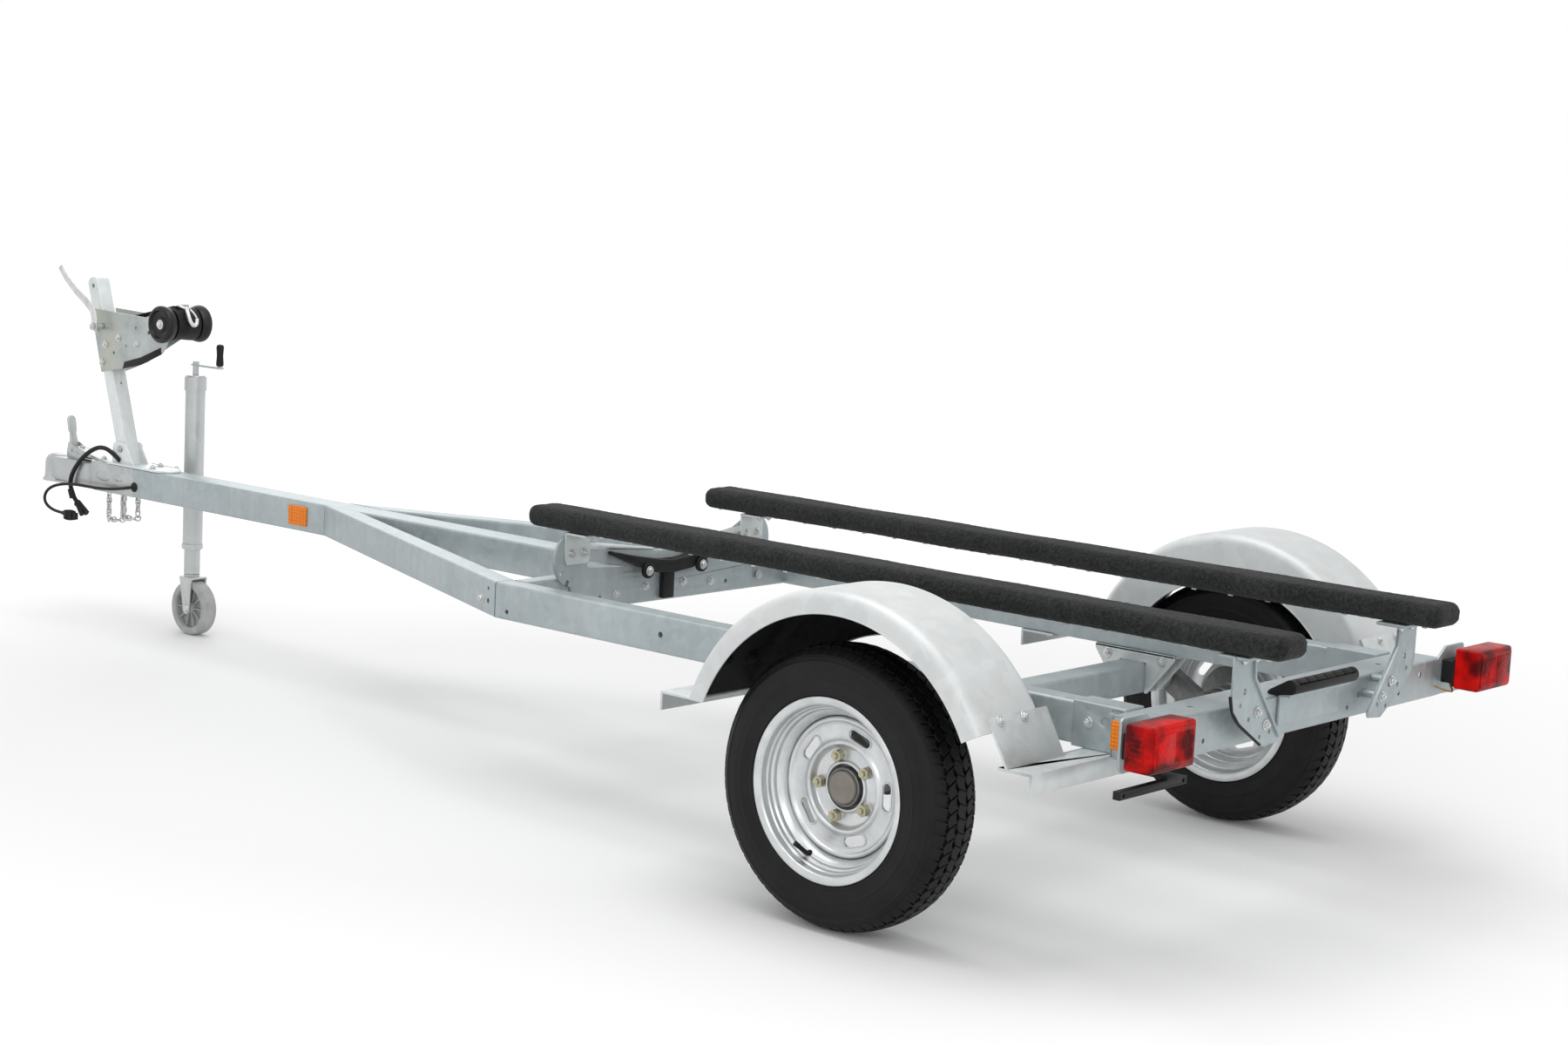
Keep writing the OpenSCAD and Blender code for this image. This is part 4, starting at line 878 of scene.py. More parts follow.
for i in range(studs):
    x, _, z = on_wheel(stud_r, stud_turn * i, 0)
    nut = rod_y("nut", x, z, wheel_y + 1, wheel_y + 15, 11.2, 6)
    nuts += [edges(nut, 0.9, 2), turned("cone", [(0.1, -2), (7.4, -2), (10.2, 2.2), (0.1, 2.2)], 24,
        (x, wheel_y, z)), rod_y("stud", x, z, wheel_y + 14, wheel_y + 21, 5.8, 20)]
nuts = smooth(joined("left_wheel_nuts", *nuts))

# Valve: a black rubber snap-in stem that leans forward, with its cap
foot, knee, tip = on_wheel(143, -66, 22), on_wheel(136, -66, 40), on_wheel(129, -61.5, 51)
valve = joined("left_valve", bent_rod("stem", [foot, on_wheel(141, -66, 31), knee, tip], 4.2, 4),
    rod("base", foot, on_wheel(140, -66, 32), 7.5, 24, 4.6), rod("cap", tip, on_wheel(125.5, -58.5, 58), 4.9,
    20))

# Tyre: carcass with rim ribs and sidewall rings, then the tread blocks on it
tyre_rubber = two_tone("tyre_rubber", (14.0, 4.0, 0.6), (0.0032, 0.0032, 0.0034), (0.0095, 0.0097, 0.010),
                       (0.22, 0.40), (520.0, 2.0), 0.00025, (0.35, 0.75), Specular_IOR_Level=0.22)
side_wall = [(156.6, 57.6), (166, 58.2), (169.5, 59.2), (171, 61), (174, 62.2), (176.5, 61.4), (180, 61.8),
    (190, 63.0), (196, 63.5), (197, 64.3), (199, 64.3), (200, 63.6), (212, 64.0), (224, 62.4), (228, 61.6),
    (229, 62.5), (231, 62.2), (232, 60.8), (238, 57.6), (243, 53.2), (246, 49.4), (248.4, 45), (250, 38),
    (251, 28), (251.6, 12)]
tyre_line = side_wall + [(r, -d) for r, d in reversed(side_wall)]
inside = [(240, -50), (226, -57), (200, -58), (176, -56), (162, -50), (162, -40)]
casing = turned("casing", pushed(tyre_line + inside + [(r, -d) for r, d in reversed(inside)], 0.8), 120)


def crown(d):
    """The tread's radius at a distance from its middle."""
    line = ((0, 258), (12, 258), (36, 254.6), (46, 249.5), (54, 243.5), (59, 238.5))
    for (a, ra), (b, rb) in zip(line, line[1:]):
        if abs(d) <= b:
            return ra + (rb - ra) * (abs(d) - a) / (b - a)
    return line[-1][1]


# One pitch of tread: a centre rib, two inner ribs of slanted blocks and two shoulder rows
pitches = 64
step = 360 / pitches
verts, faces = [], []
for row, (d0, d1, lag, gap) in enumerate(((-57, -37, 0.5, 0.16), (-33, -14.5, 0.0, 0.10),
        (-10.5, 10.5, 0.35, 0.05), (14.5, 33, 0.7, 0.10), (37, 57, 0.2, 0.16))):
    zig = 2.4
    cols = 3
    for c in range(cols + 1):
        t = c / cols
        for k in range(4):
            wide = k / 3
            kink = zig * (1 if c in (1, 2) else -1)
            low, high = (d0 + (kink if abs(d0) < 50 else 0), d1 + (kink if abs(d1) < 50 else 0))
            d = low + (high - low) * wide
            slant = (wide - 0.5) * 0.35 * (1 if row % 2 else -1)
            angle = step * (lag + slant + gap / 2 + t * (1 - gap))
            r = crown(d)
            verts.append((Vector((r * cos(radians(angle)), d, r * sin(radians(angle)))) / 1000))
    base = row * (cols + 1) * 4
    for c in range(cols):
        for k in range(3):
            a = base + c * 4 + k
            faces.append((a, a + 1, a + 5, a + 4))
pitch_mesh = bpy.data.meshes.new("pitch")
pitch_mesh.from_pydata(verts, [], faces)
pitch = face_out(in_scene("pitch", pitch_mesh))
if pitch.data.polygons[0].normal.dot(Vector(verts[0])) < 0:
    pitch.data.flip_normals()
edges(modify(pitch, "SOLIDIFY", thickness=0.009, offset=-1), 0.7, 1, 40)
pitch.data.transform(Matrix.Translation(spot(0, wheel_y, wheel_z)))
tyre = smooth(joined("left_tyre_visual", casing, *ring_of(pitch, pitches, 0, wheel_y, wheel_z)), 32)

for piece, material, slot, *nodes in (
        (rim, rim_zinc, "rim_zinc", "left_rim"), (hub_body, dark_steel, "hub_steel", "left_hub"),
        (cap, cap_plating, "hub_steel"), (nuts, nut_plating, "hub_steel"), (valve, rubber, "tyre_rubber"),
        (tyre, tyre_rubber, "tyre_rubber", "left_tyre")):
    wear_both(smooth(piece, 32), material, slot, *nodes, body="left_wheel")

# Fenders
# Rolled from 2.5 mm zinc coated sheet with rounded shoulders and a deep inner side. A black
# sheet just inside it, and black inner bolt heads, are painted shade under the fender. An angle bar
# under the rail carries the front end, and a stepped bracket the rear end.
_, _, my0, my1, _, mz1 = reach("left_fender")
foot_top = reach("front_fender_brackets")[5]
arch_x, arch_z = -30.0, wheel_z
arch_r = mz1 - arch_z
fender_mid, fender_half = (my0 + my1) / 2, (my1 - my0) / 2
sheet = 2.5
shoulder = 22
lip_depth = 20
skirt_depth = 76
section = [(-fender_half, arch_r - shoulder - lip_depth), (-fender_half, arch_r - shoulder)]
section += [(-fender_half + shoulder - shoulder * cos(radians(t)), arch_r - shoulder
    + shoulder * sin(radians(t))) for t in range(15, 91, 15)]
section += [(d, arch_r) for d in (-44, -22, 0, 22, 44)]
section += [(-d, r) for d, r in reversed(section[:8])]
section[0] = (-fender_half, arch_r - shoulder - skirt_depth)
arch_ends = (degrees(asin((foot_top - arch_z) / arch_r)), 152.5)


def arch(angle, r, d):
    return Vector((arch_x + r * cos(radians(angle)), fender_mid + d, arch_z + r * sin(radians(angle))))


def rolled(name, line, thick, trim):
    """A sheet turned about the arch's middle from a line across it, cut level at the front bracket."""
    start, end = arch_ends[0] - 6, arch_ends[1]
    bpy.ops.object.select_all(action="DESELECT")
    bpy.ops.mesh.primitive_plane_add(size=0.001, location=spot(arch_x, fender_mid, arch_z))
    sheet_made = bpy.context.object
    edit_all()
    bpy.ops.mesh.merge(type="CENTER")
    places = [arch(start, r, d) for d, r in line]
    bpy.ops.transform.translate(value=(places[0] - Vector((arch_x, fender_mid, arch_z))) / 1000)
    for before, after in zip(places, places[1:]):
        bpy.ops.mesh.extrude_vertices_move(TRANSFORM_OT_translate={"value": (after - before) / 1000})
    bpy.ops.mesh.select_all(action="SELECT")
    bpy.ops.mesh.spin(steps=68, angle=radians(end - start), center=spot(arch_x, fender_mid, arch_z),
        axis=(0, 1, 0))
    bpy.ops.mesh.select_all(action="SELECT")
    bpy.ops.mesh.remove_doubles(threshold=0.00001)
    bpy.ops.mesh.normals_make_consistent(inside=False)
    bpy.ops.mesh.select_all(action="SELECT")
    bpy.ops.mesh.bisect(plane_co=spot(arch_x, 0, trim), plane_no=(0, 0, 1), clear_inner=True)
    bpy.ops.object.mode_set(mode="OBJECT")
    settle(name)
    if max(sheet_made.data.polygons, key=lambda f: f.center.z).normal.z < 0:
        sheet_made.data.flip_normals()
    modify(sheet_made, "SOLIDIFY", thickness=thick / 1000, offset=-1)
    return edges(sheet_made, min(0.7, thick / 4), 1, 50)


fender = rolled("left_fender_sheet", section, sheet, foot_top + 0.5)
# Painted shade: a thin black sheet just inside the zinc one stands in for the shadow under the fender.
gap = sheet + 0.4
shade_sheet_line = [(d * (1 - gap / fender_half), r - gap) for d, r in section]
shade_sheet_line[0] = (shade_sheet_line[0][0], section[0][1] + 1)
shade_sheet_line[-1] = (shade_sheet_line[-1][0], section[-1][1] + 2)
shade_liner = rolled("left_fender_undercoat", shade_sheet_line, 0.8, foot_top + 1)
# The black of that painted shade sheet.
fender_shade_black = two_tone("fender_painted_shade", (60.0, 4.0, 0.6), (0.004, 0.0042, 0.0042), (0.018, 0.019, 0.019),
                     (0.2, 0.6), (300.0, 3.0), 0.0004, (0.3, 0.75), Specular_IOR_Level=0.2)
wear_both(shade_liner, fender_shade_black, "fender_zinc")
rolls = []
for d, lip_r in ((-fender_half + 1.4, section[0][1] + 1), (fender_half - 1.4, section[-1][1] + 1)):
    lip_start = degrees(asin((foot_top + 3 - arch_z) / lip_r))
    rolls.append(bent_rod("roll", [tuple(arch(lip_start + (arch_ends[1] - lip_start) * i / 44, lip_r, d))
        for i in range(45)], 2.3, 3))
fender = smooth(joined("left_fender_sheet", fender, *rolls), 40)
fender_zinc = zinc("fender_zinc", (0.52, 0.535, 0.535), (0.70, 0.71, 0.71), 0.36, 0.3, 38.0, 0.5)
wear_both(fender, fender_zinc, "fender_zinc", "left_fender")

nx0 = reach("front_fender_brackets")[0]
wear(from_node("fender_front_feet", "front_fender_brackets", 1.2), pale_zinc, "galvanised",
    "front_fender_brackets")
wear(from_node("fender_rear_steps", "rear_fender_brackets", 1.2), pale_zinc, "galvanised",
    "rear_fender_brackets")
lean_angle = 29
out_way = (-cos(radians(lean_angle)), 0, sin(radians(lean_angle)))
leg_bolts = [arch(180 - lean_angle - 1, arch_r + 5, d) for d in (-34, 34)]
inner_angle = arch_ends[0] + 12
inner_bolts = [arch(inner_angle, arch_r - sheet - 1.6, d) for d in (20, -46)]
inward = arch(inner_angle, -1, 0) - arch(inner_angle, 0, 0)
bolts("fender_bolts",
      *((p.x, s * p.y, p.z, out_way) for s in (1, -1) for p in leg_bolts),
      *((nx0 + 28, s * (ry0 + 26), foot_top - 5, (0, 0, -1)) for s in (1, -1)), across=12, high=5)
# The bolt heads inside the fender take the same black, as painted shade.
bolts("fender_inner_bolts", *((q.x, s * q.y, q.z, tuple(inward)) for s in (1, -1) for q in inner_bolts),
    across=22, material=fender_shade_black, slot="fender_zinc")

# Tail lights
# Sealed red lamps, each a rounded box of red plastic with moulded prisms behind the face.
# They are screwed to black backs on the ends of the rear cross member.
lamp_red, place = new_finish("lamp_red")
depth_tone = place.noise(16.0, 3.0, 0.55)
fine = place.stretch(0, 1, 1).cells(230.0)
glow = depth_tone.over(0.42, 0.62)
set_finish(lamp_red, fine, 0.0005, Base_Color=glow.tint((0.085, 0.0003, 0.0005), (0.60, 0.0025, 0.001)),
           Roughness=depth_tone * 0.15 + 0.28, Specular_IOR_Level=0.12)
lx0, lx1, ly0, ly1, lz0, lz1 = reach("left_tail_light")
shell = block("shell", (lx0 + 3, ly0, lz0), (lx1, ly1, lz1))
edges(shell, 6, 4)
face = block("face", (lx0, ly0 + 7, lz0 + 7), (lx0 + 6, ly1 - 7, lz1 - 7))
edges(face, 2.5, 3)
lamp_bits = [shell, face]
for i in range(11):
    y = ly0 + 14 + i * 4.6
    lamp_bits.append(edges(block("prism", (lx0 - 0.9, y, lz0 + 14), (lx0 + 1, y + 3.2, lz1 - 14)), 0.9, 1))
lamp_bits.append(edges(block("window", (lx0 - 1.2, ly1 - 66, lz0 + 14), (lx0 + 1, ly1 - 14, lz1 - 14)), 1.6,
    2))
for i in range(5):
    z = lz0 + 20 + i * 8.6
    lamp_bits.append(edges(block("side_prism", (lx0 + 18, ly1 - 0.6, z), (lx1 - 12, ly1 + 1.0, z + 6)), 0.9,
        1))
lamp = smooth(joined("left_lamp_lens", *lamp_bits))
wear_both(lamp, lamp_red, "lamp_red", "left_tail_light")
lamp_black = two_tone("lamp_black", (180.0, 3.0), (0.004, 0.004, 0.0045), (0.014, 0.014, 0.015), (0.2, 0.42),
                      Specular_IOR_Level=0.25)
vx0, vx1, _, vy1, vz0, vz1 = reach("tail_light_housings")
vy0 = ly0 + 8
back_y = vy1 - 34
back = edges(joined("left_lamp_back", block("a", (vx0, vy0, vz0), (vx1 - 0.3, back_y, vz1)),
                    block("b", (vx0, vy0 - 5, vz0 - 5), (vx0 + 5, back_y, vz1 + 6))), 1.5, 2)
wear_both(back, lamp_black, "lamp_black", "tail_light_housings")
lead_tan = two_tone("lead_tan", (80.0,), (0.22, 0.11, 0.03), (0.42, 0.24, 0.07), (0.2, 0.4))
lead_line = ((-2, 26, vz0 + 6), (-14, 20, lz0 - 4), (-26, 8, lz0 - 9), (-18, -8, lz0 - 6), (-2, -18, vz0 - 8),
    (6, -24, vz0 - 4))
leads = [bent_rod("lead", [(vx1 + x, s * (vy0 + y), z) for x, y, z in lead_line], 1.8) for s in (1, -1)]
wear(joined("lamp_leads", *leads), lead_tan, "cable_black")

# Blank number plate holder: a black bar with two bolt holes, bracketed under the left lamp
wear(from_node("plate_holder_bar", "plate_holder", 3.5), lamp_black, "lamp_black", "plate_holder")

# Amber reflectors: prismatic plates in a shallow frame
amber, place = new_finish("amber_lens")
prisms = sum((place.math("SINE", way * 2 * pi * 150) for way in place.parts()[::2]), 0)
gleam = place.noise(50.0, 2.0)
set_finish(amber, prisms, 0.0003, Base_Color=(prisms * 0.25 + 0.5).tint((0.62, 0.13, 0.002),
    (0.92, 0.27, 0.005)), Roughness=gleam * 0.1 + 0.25, Specular_IOR_Level=0.3)
nodes_box = reach("side_reflectors")
plates = []
for s in (1, -1):
    for x0, x1, y0, z0, z1 in ((nodes_box[1] - 66, nodes_box[1], ty1, dz0 + 14, dz1 - 14),
            (cx1 - 36, cx1 - 2, rear_half, dz0 + 17, dz1 - 9)):
        slab = block("slab", (x0, min(s * (y0 - 0.5), s * (y0 + 5)), z0),
            (x1, max(s * (y0 - 0.5), s * (y0 + 5)), z1))
        edges(slab, 2, 3)
        rows = 3 if x1 - x0 < 40 else 5
        plates.append(slab)
        for i in range(rows):
            for j in range(5):
                bx, bz = x0 + 4 + (x1 - x0 - 8) * (i + 0.08) / rows, z0 + 4 + (z1 - z0 - 8) * (j + 0.08) / 5
                ex, ez = bx + (x1 - x0 - 8) * 0.84 / rows, bz + (z1 - z0 - 8) * 0.84 / 5
                cell = block("cell", (bx, min(s * (y0 + 4.5), s * (y0 + 5.8)), bz),
                    (ex, max(s * (y0 + 4.5), s * (y0 + 5.8)), ez))
                plates.append(edges(cell, 0.8, 1))
wear(smooth(joined("amber_reflectors", *plates)), amber, "amber_lens", "side_reflectors")

# Winch stand
# A galvanised square post, leaned forward, stands in a folded foot on the tongue. Two
# bolted plates reach back from it to the bow roller, with the winch between them.
post_zinc = zinc("post_zinc", (0.60, 0.63, 0.63), (0.78, 0.80, 0.80), 0.32)
gold_zinc, place = new_finish("winch_plate_zinc")
wide = place.parts()[0]
cloud = place.noise(16.0, 4.0, 0.6)
speck = place.noise(400.0, 2.0)
rear_end = (axle_x * 1000 + 2950) / 1000
gold = (wide - rear_end).over(0.0, 0.13) * cloud.over(0.35, 0.6)
plain = cloud.over(0.3, 0.7).tint((0.32, 0.36, 0.355), (0.48, 0.51, 0.505))
set_finish(gold_zinc, speck, 0.0001, Base_Color=gold.node("Mix", {"data_type": "RGBA"},
    {0: gold * 0.6, 6: plain, 7: (0.40, 0.385, 0.22, 1)}, 2), Metallic=0.6, Roughness=cloud * 0.2 + 0.27)
base_x0, base_x1 = reach("winch_post_base")[:2]
lean = radians(18)
post_foot = Vector((2985, 0, frame_top + 6))
post_len, post_half = 500, 20
leaning = Vector((sin(lean), 0, cos(lean)))
ahead_way = Vector((cos(lean), 0, -sin(lean)))


def on_post(up, ahead=0.0, side=0.0):
    """A place on the leaning post: up it from its foot, ahead of its middle and to its left."""
    return post_foot + leaning * up + ahead_way * ahead + Vector((0, side, 0))


def sheared(name, points, thick, place_at):
    """A plate from (a, b) points and two thicknesses, each put in place by a function."""
    piece = outline(name, points, thick, "y")
    for vertex in piece.data.vertices:
        local = (vertex.co - spot(0, 0, 0)) * 1000
        vertex.co = spot(*place_at(local.z, local.x, local.y))
    return piece


post_side_view = [(-post_half, -7), (post_half, 6)]
post_side_view += [(post_half * cos(radians(t)), post_len - 16 + 16 * sin(radians(t)))
    for t in range(0, 181, 15)]
post = sheared("winch_post_tube", post_side_view, (-post_half, post_half), on_post)
hole_at = on_post(post_len - 24)
drill(post, rod("hole", tuple(hole_at + Vector((0, -40, 0))), tuple(hole_at + Vector((0, 40, 0))), 6, 20),
      *(rod("hole", tuple(on_post(u, -60)), tuple(on_post(u, -10)), 2.6, 12) for u in (210, 330)))
edges(post, 2.2, 3, 50)
wear(post, post_zinc, "post_zinc", "winch_post")

ears = []
for s in (1, -1):
    y0, y1 = sorted((s * post_half, s * (post_half + 5)))
    ear = outline("ear", [(2935, frame_top + 1), (2968, frame_top + 48)]
        + [(2977 + 12 * cos(radians(t)), frame_top + 48 + 12 * sin(radians(t))) for t in range(160, 89, -14)]
        + [(3020, frame_top + 60), (3029, frame_top + 52), (base_x1, frame_top + 7),
        (base_x1, frame_top + 1)], (y0, y1), "y")
    drill(ear, hole(2994, s * 22, frame_top + 40, "y", 6, 6))
    ears.append(ear)
foot_line = [(base_x0 + 40, -38), (base_x0 + 14, -26), (base_x0, -12), (base_x0, 12), (base_x0 + 14, 26),
    (base_x0 + 40, 38), (base_x1, 38), (base_x1, -38)]
foot_plate = outline("foot", foot_line, (frame_top + 0.2, frame_top + 6))
drill(foot_plate, hole(base_x0 + 24, 0, frame_top, "z", 6.5, 9), hole(2900, -20, frame_top, "z", 5, 9))
base = edges(joined("winch_post_foot", foot_plate, *ears), 1.2)
wear(base, post_zinc, "post_zinc", "winch_post_base")
bolts("post_bolts", *((3000, s * (post_half + 5), frame_top + 42, (0, s, 0)) for s in (1, -1)),
    *((x, y, frame_top + 6, (0, 0, 1)) for x, y in ((base_x0 + 70, 22), (base_x0 + 96, -22), (3072, 20),
    (3072, -20))), across=13, high=7)

# Bracket: two plates, the right one cut away below, spacers to the post and a black band
plate_y1 = reach("winch_bracket")[3]
winch_at = on_post(400)
roller_at = Vector((winch_at.x - 324, 0, winch_at.z))
plate_line = [(4, 16), (-45, -148), (-215, -114), (-300, -79), (-318, -60)]
plate_line += [(-324 + 24 * cos(radians(t)), 24 * sin(radians(t)))
    for t in range(245, 80, -15)] + [(-262, 20), (-230, 10), (-150, 12)]
far_line = plate_line[:2] + [(-140, -116), (-215, -76), (-290, -38), (-316, -24)] + plate_line[7:]
plates = []
for line, y0, y1 in ((plate_line, plate_y1 - 4, plate_y1), (far_line, -plate_y1, -plate_y1 + 4)):
    side_plate = outline("plate", [(a + winch_at.x, b + winch_at.z) for a, b in line], (y0, y1), "y")
    drill(side_plate, *(rod("h", tuple(winch_at + Vector((a, y0 - 3, b))),
        tuple(winch_at + Vector((a, y1 + 3, b))), r, 20) for a, b,
        r in ((-98, -92, 4), (-150, -70, 3.5), (-245, -28, 5), (-190, -20, 3))))
    plates.append(side_plate)
arm = joined("winch_arm", *plates)
edges(arm, 1.3, 2)
wear(arm, gold_zinc, "bright_zinc", "winch_bracket")
spacers = []
for s in (1, -1):
    for d in (-42, -132):
        p = on_post(400 + d, -8)
        spacers.append(rod("spacer", (p.x, s * (post_half + 0.2), p.z), (p.x, s * (plate_y1 - 4), p.z), 12,
            28))
wear(smooth(joined("winch_spacers", *spacers)), bright_zinc, "bright_zinc")
bolts("winch_bolts", *((*p[:1], s * plate_y1, p[2], (0, s, 0)) for s in (1, -1)
    for p in (tuple(on_post(358, -8)), tuple(on_post(268, -8)))),
    *((winch_at.x + a, s * plate_y1, winch_at.z + b, (0, s, 0)) for s in (1, -1) for a,
    b in ((-62, -74), (-118, -52), (-196, -64))), across=12, high=5)
band = outline("winch_arm_band", [(winch_at.x + a, winch_at.z + b) for a,
    b in ((-140, -130), (-215, -114), (-300, -80), (-298, -62), (-215, -94), (-146, -112))],
    (plate_y1, plate_y1 + 1.8), "y")
wear(edges(band, 0.6), rubber, "bright_zinc")

# Winch: side frames, gear, shaft and the strap wound on its drum
dx, dz = winch_at.x - 98, winch_at.z - 36
webbing, place = new_finish("black_webbing")
wide, deep, _ = place.parts()
weave = place.math("SINE", wide * 1400) * place.math("SINE", deep * 2600)
rough_web = place.noise(60.0)
set_finish(webbing, weave, 0.0004, Base_Color=(weave * 0.2 + rough_web * 0.6).tint((0.004, 0.004, 0.0045),
    (0.022, 0.022, 0.023)), Roughness=rough_web * 0.2 + 0.6, Specular_IOR_Level=0.2)
winding = []
draw = Random(3)
for i in range(6):
    winding.append(rod("turns", (dx, -24 + draw.uniform(-1, 1), dz), (dx, 24 + draw.uniform(-1, 1), dz),
        30 - 2.6 * i, 48))
winding.append(turned("spread", [(10, -24), (29, -24), (30, -20), (30, 20), (29, 24), (10, 24)], 48,
    (dx, 0, dz)))
wear(smooth(joined("winch_strap_turns", *winding)), webbing, "black_webbing", "winch_drum")
gear = turned("gear", [(8, 27), (31, 27), (31, 32), (8, 32)], 40, (dx, 0, dz))
tooth = block("tooth", (dx + 29, 27, dz - 1.6), (dx + 34.5, 32, dz + 1.6))
gear_bits = [gear, *ring_of(tooth, 28, dx, 0, dz)]
hx, hz = winch_at.x - 48, winch_at.z - 28
gear_bits += [rod_y("shaft", dx, dz, -35, 35.6, 10, 28), rod_y("pinion", hx, hz, 26, 35, 15, 28),
              rod_y("tie", dx - 46, dz - 26, -36, 36, 5, 20), rod_y("flange", dx, dz, -29, -26, 35, 48)]
pawl = outline("pawl", [(hx - 6, hz + 18), (hx + 6, hz + 24), (hx + 10, hz + 40), (hx + 2, hz + 44),
    (hx - 18, hz + 36), (hx - 40, hz + 34), (hx - 42, hz + 30), (hx - 14, hz + 26)], (28, 33), "y")
gear_bits.append(pawl)
wear(edges(joined("winch_gear", *gear_bits), 0.5, 1, 40), bright_zinc, "bright_zinc")

# Handle: a pressed steel bar that lies up and forward, with its tip bent up
handle_parts = [rod_y("shaft", hx, hz, plate_y1 + 0.3, plate_y1 + 30, 8, 24)]
crank_y = plate_y1 + 25
bar_points = [(hx + a, crank_y, hz + b) for a, b in ((0, -8), (0, 22), (10, 44), (38, 62), (82, 87),
    (124, 116), (154, 146))]
bar_upper, bar_lower = [], []
for i, (x, y, z) in enumerate(bar_points):
    before, after = Vector(bar_points[max(i - 1, 0)]), Vector(bar_points[min(i + 1, len(bar_points) - 1)])
    along_bar = (after - before).normalized()
    side_bar = Vector((-along_bar.z, 0, along_bar.x))
    half_bar = 12 - 4.5 * i / (len(bar_points) - 1)
    bar_upper.append((x + side_bar.x * half_bar, z + side_bar.z * half_bar))
    bar_lower.append((x - side_bar.x * half_bar, z - side_bar.z * half_bar))
bar = outline("bar", bar_upper + bar_lower[::-1], (crank_y - 3, crank_y + 3), "y")
handle_parts += [edges(bar, 1.8, 3), rod_y("nut", hx, hz, crank_y + 3, crank_y + 10, 10, 6),
    rod_y("end", hx, hz, crank_y + 9, crank_y + 13, 5, 16)]
handle = edges(joined("winch_handle_bar", *handle_parts), 0.6, 1, 60)
wear(handle, bright_zinc, "bright_zinc", "winch_handle", body="winch_handle")

# Strap from the drum over the bow roller, and its snap hook
spool_r, strap_half = 43, 25
strap_points = [(dx - 6, dz + 30.6)]
strap_points += arc(roller_at.x, roller_at.z, spool_r + 1.6, 78, 102, 4)
strap_faces, strap_verts = [], []
for x, z in strap_points:
    for y in (-strap_half, 0, strap_half):
        strap_verts.append(spot(x, y, z))
for i in range(len(strap_points) - 1):
    for k in range(2):
        a = i * 3 + k
        strap_faces.append((a, a + 1, a + 4, a + 3))
strap_mesh = bpy.data.meshes.new("winch_strap_webbing")
strap_mesh.from_pydata(strap_verts, [], strap_faces)
strap = in_scene("winch_strap_webbing", strap_mesh)
edges(modify(strap, "SOLIDIFY", thickness=0.0024, offset=0), 0.6, 1, 50)
stitch = [block("stitch", (roller_at.x - 8 + 0.1 * i, -22 + i * 4.4, roller_at.z + spool_r + 2.6),
    (roller_at.x + 6, -20.8 + i * 4.4, roller_at.z + spool_r + 3.4)) for i in range(11)]
strap = joined("winch_strap_webbing", strap, *stitch)
wear(strap, webbing, "black_webbing", "winch_strap")
hook_r = spool_r + 7.5


def on_roller(angle, radius, side=0.0):
    return (roller_at.x + radius * cos(radians(angle)), side, roller_at.z + radius * sin(radians(angle)))


hook_bits = [bent_rod("eye", [on_roller(100, hook_r - 1, -17), on_roller(96, hook_r - 1, 0),
    on_roller(100, hook_r - 1, 17), on_roller(112, hook_r, 16), on_roller(122, hook_r, 8),
    on_roller(124, hook_r, 0), on_roller(122, hook_r, -8), on_roller(112, hook_r, -16),
    on_roller(100, hook_r - 1, -17)], 3.6, 4), bent_rod("body",
    [on_roller(120, hook_r, 2), on_roller(134, hook_r + 1, 7), on_roller(150, hook_r + 2, 10),
    on_roller(166, hook_r + 2, 9), on_roller(178, hook_r + 2, 2), on_roller(180, hook_r + 2, -7),
    on_roller(172, hook_r + 1, -13), on_roller(160, hook_r + 1, -14)], 5.0, 4),
    bent_rod("latch", [on_roller(130, hook_r + 1, -4), on_roller(142, hook_r + 1, -11),
    on_roller(158, hook_r + 1, -14)], 2.6, 3)]
silver = two_tone("hook_silver", (90.0, 3.0), (0.62, 0.62, 0.61), (0.80, 0.80, 0.79), (0.2, 0.25),
    height=0.0001, Metallic=0.55)
wear(joined("strap_snap_hook", *hook_bits), silver, "bright_zinc", "strap_hook")

# Bow roller: a ribbed black rubber spool with a bell at each end and a plated bolt
ribs_line = []
half_spool = plate_y1 - 4.6
steps_spool = 13
ribs_line.append((0.5, -half_spool))
for i in range(steps_spool):
    d0 = -half_spool + i * 2 * half_spool / steps_spool
    d1 = d0 + 2 * half_spool / steps_spool
    crown_r = spool_r - 3 + 3 * abs((d0 + d1) / 2 / half_spool)
    ribs_line += [(crown_r - 1.6, d0 + 0.3), (crown_r - 0.3, d0 + 1.2), (crown_r - 0.3, d1 - 1.6),
        (crown_r - 1.6, d1 - 0.8)]
ribs_line.append((0.5, half_spool))
roller_bits = [turned("spool", ribs_line, 72, tuple(roller_at))]
for s in (1, -1):
    bell = [(0.5, plate_y1 + 0.5), (42, plate_y1 + 0.5), (44, plate_y1 + 4), (46.8, plate_y1 + 12),
        (47.6, plate_y1 + 18), (47.6, 60), (46.6, 64.5), (44, 67.5), (41, 69.6), (38, 70.2), (36, 69),
        (33, 63), (24, 60), (20, 60), (18, 63), (0.5, 63)]
    roller_bits.append(turned("bell", [(r, s * d) for r, d in bell], 72, tuple(roller_at)))
roller = smooth(joined("bow_roller_rubber", *roller_bits), 35)
roller_rubber = two_tone("roller_rubber", (26.0, 5.0, 0.65), (0.004, 0.004, 0.0045), (0.015, 0.015, 0.016),
                         (0.3, 0.28), (500.0, 2.0), spread=(0.4, 0.75), Specular_IOR_Level=0.35)
wear(roller, roller_rubber, "black_rubber", "bow_roller", body="bow_roller")
pin = [p for s in (1, -1) for p in bolt(roller_at.x, s * 63, roller_at.z, (0, s, 0), 15, 6)]
wear(edges(joined("bow_roller_bolt", *pin), 0.6, 1, 40), silver, "bright_zinc", body="bow_roller")

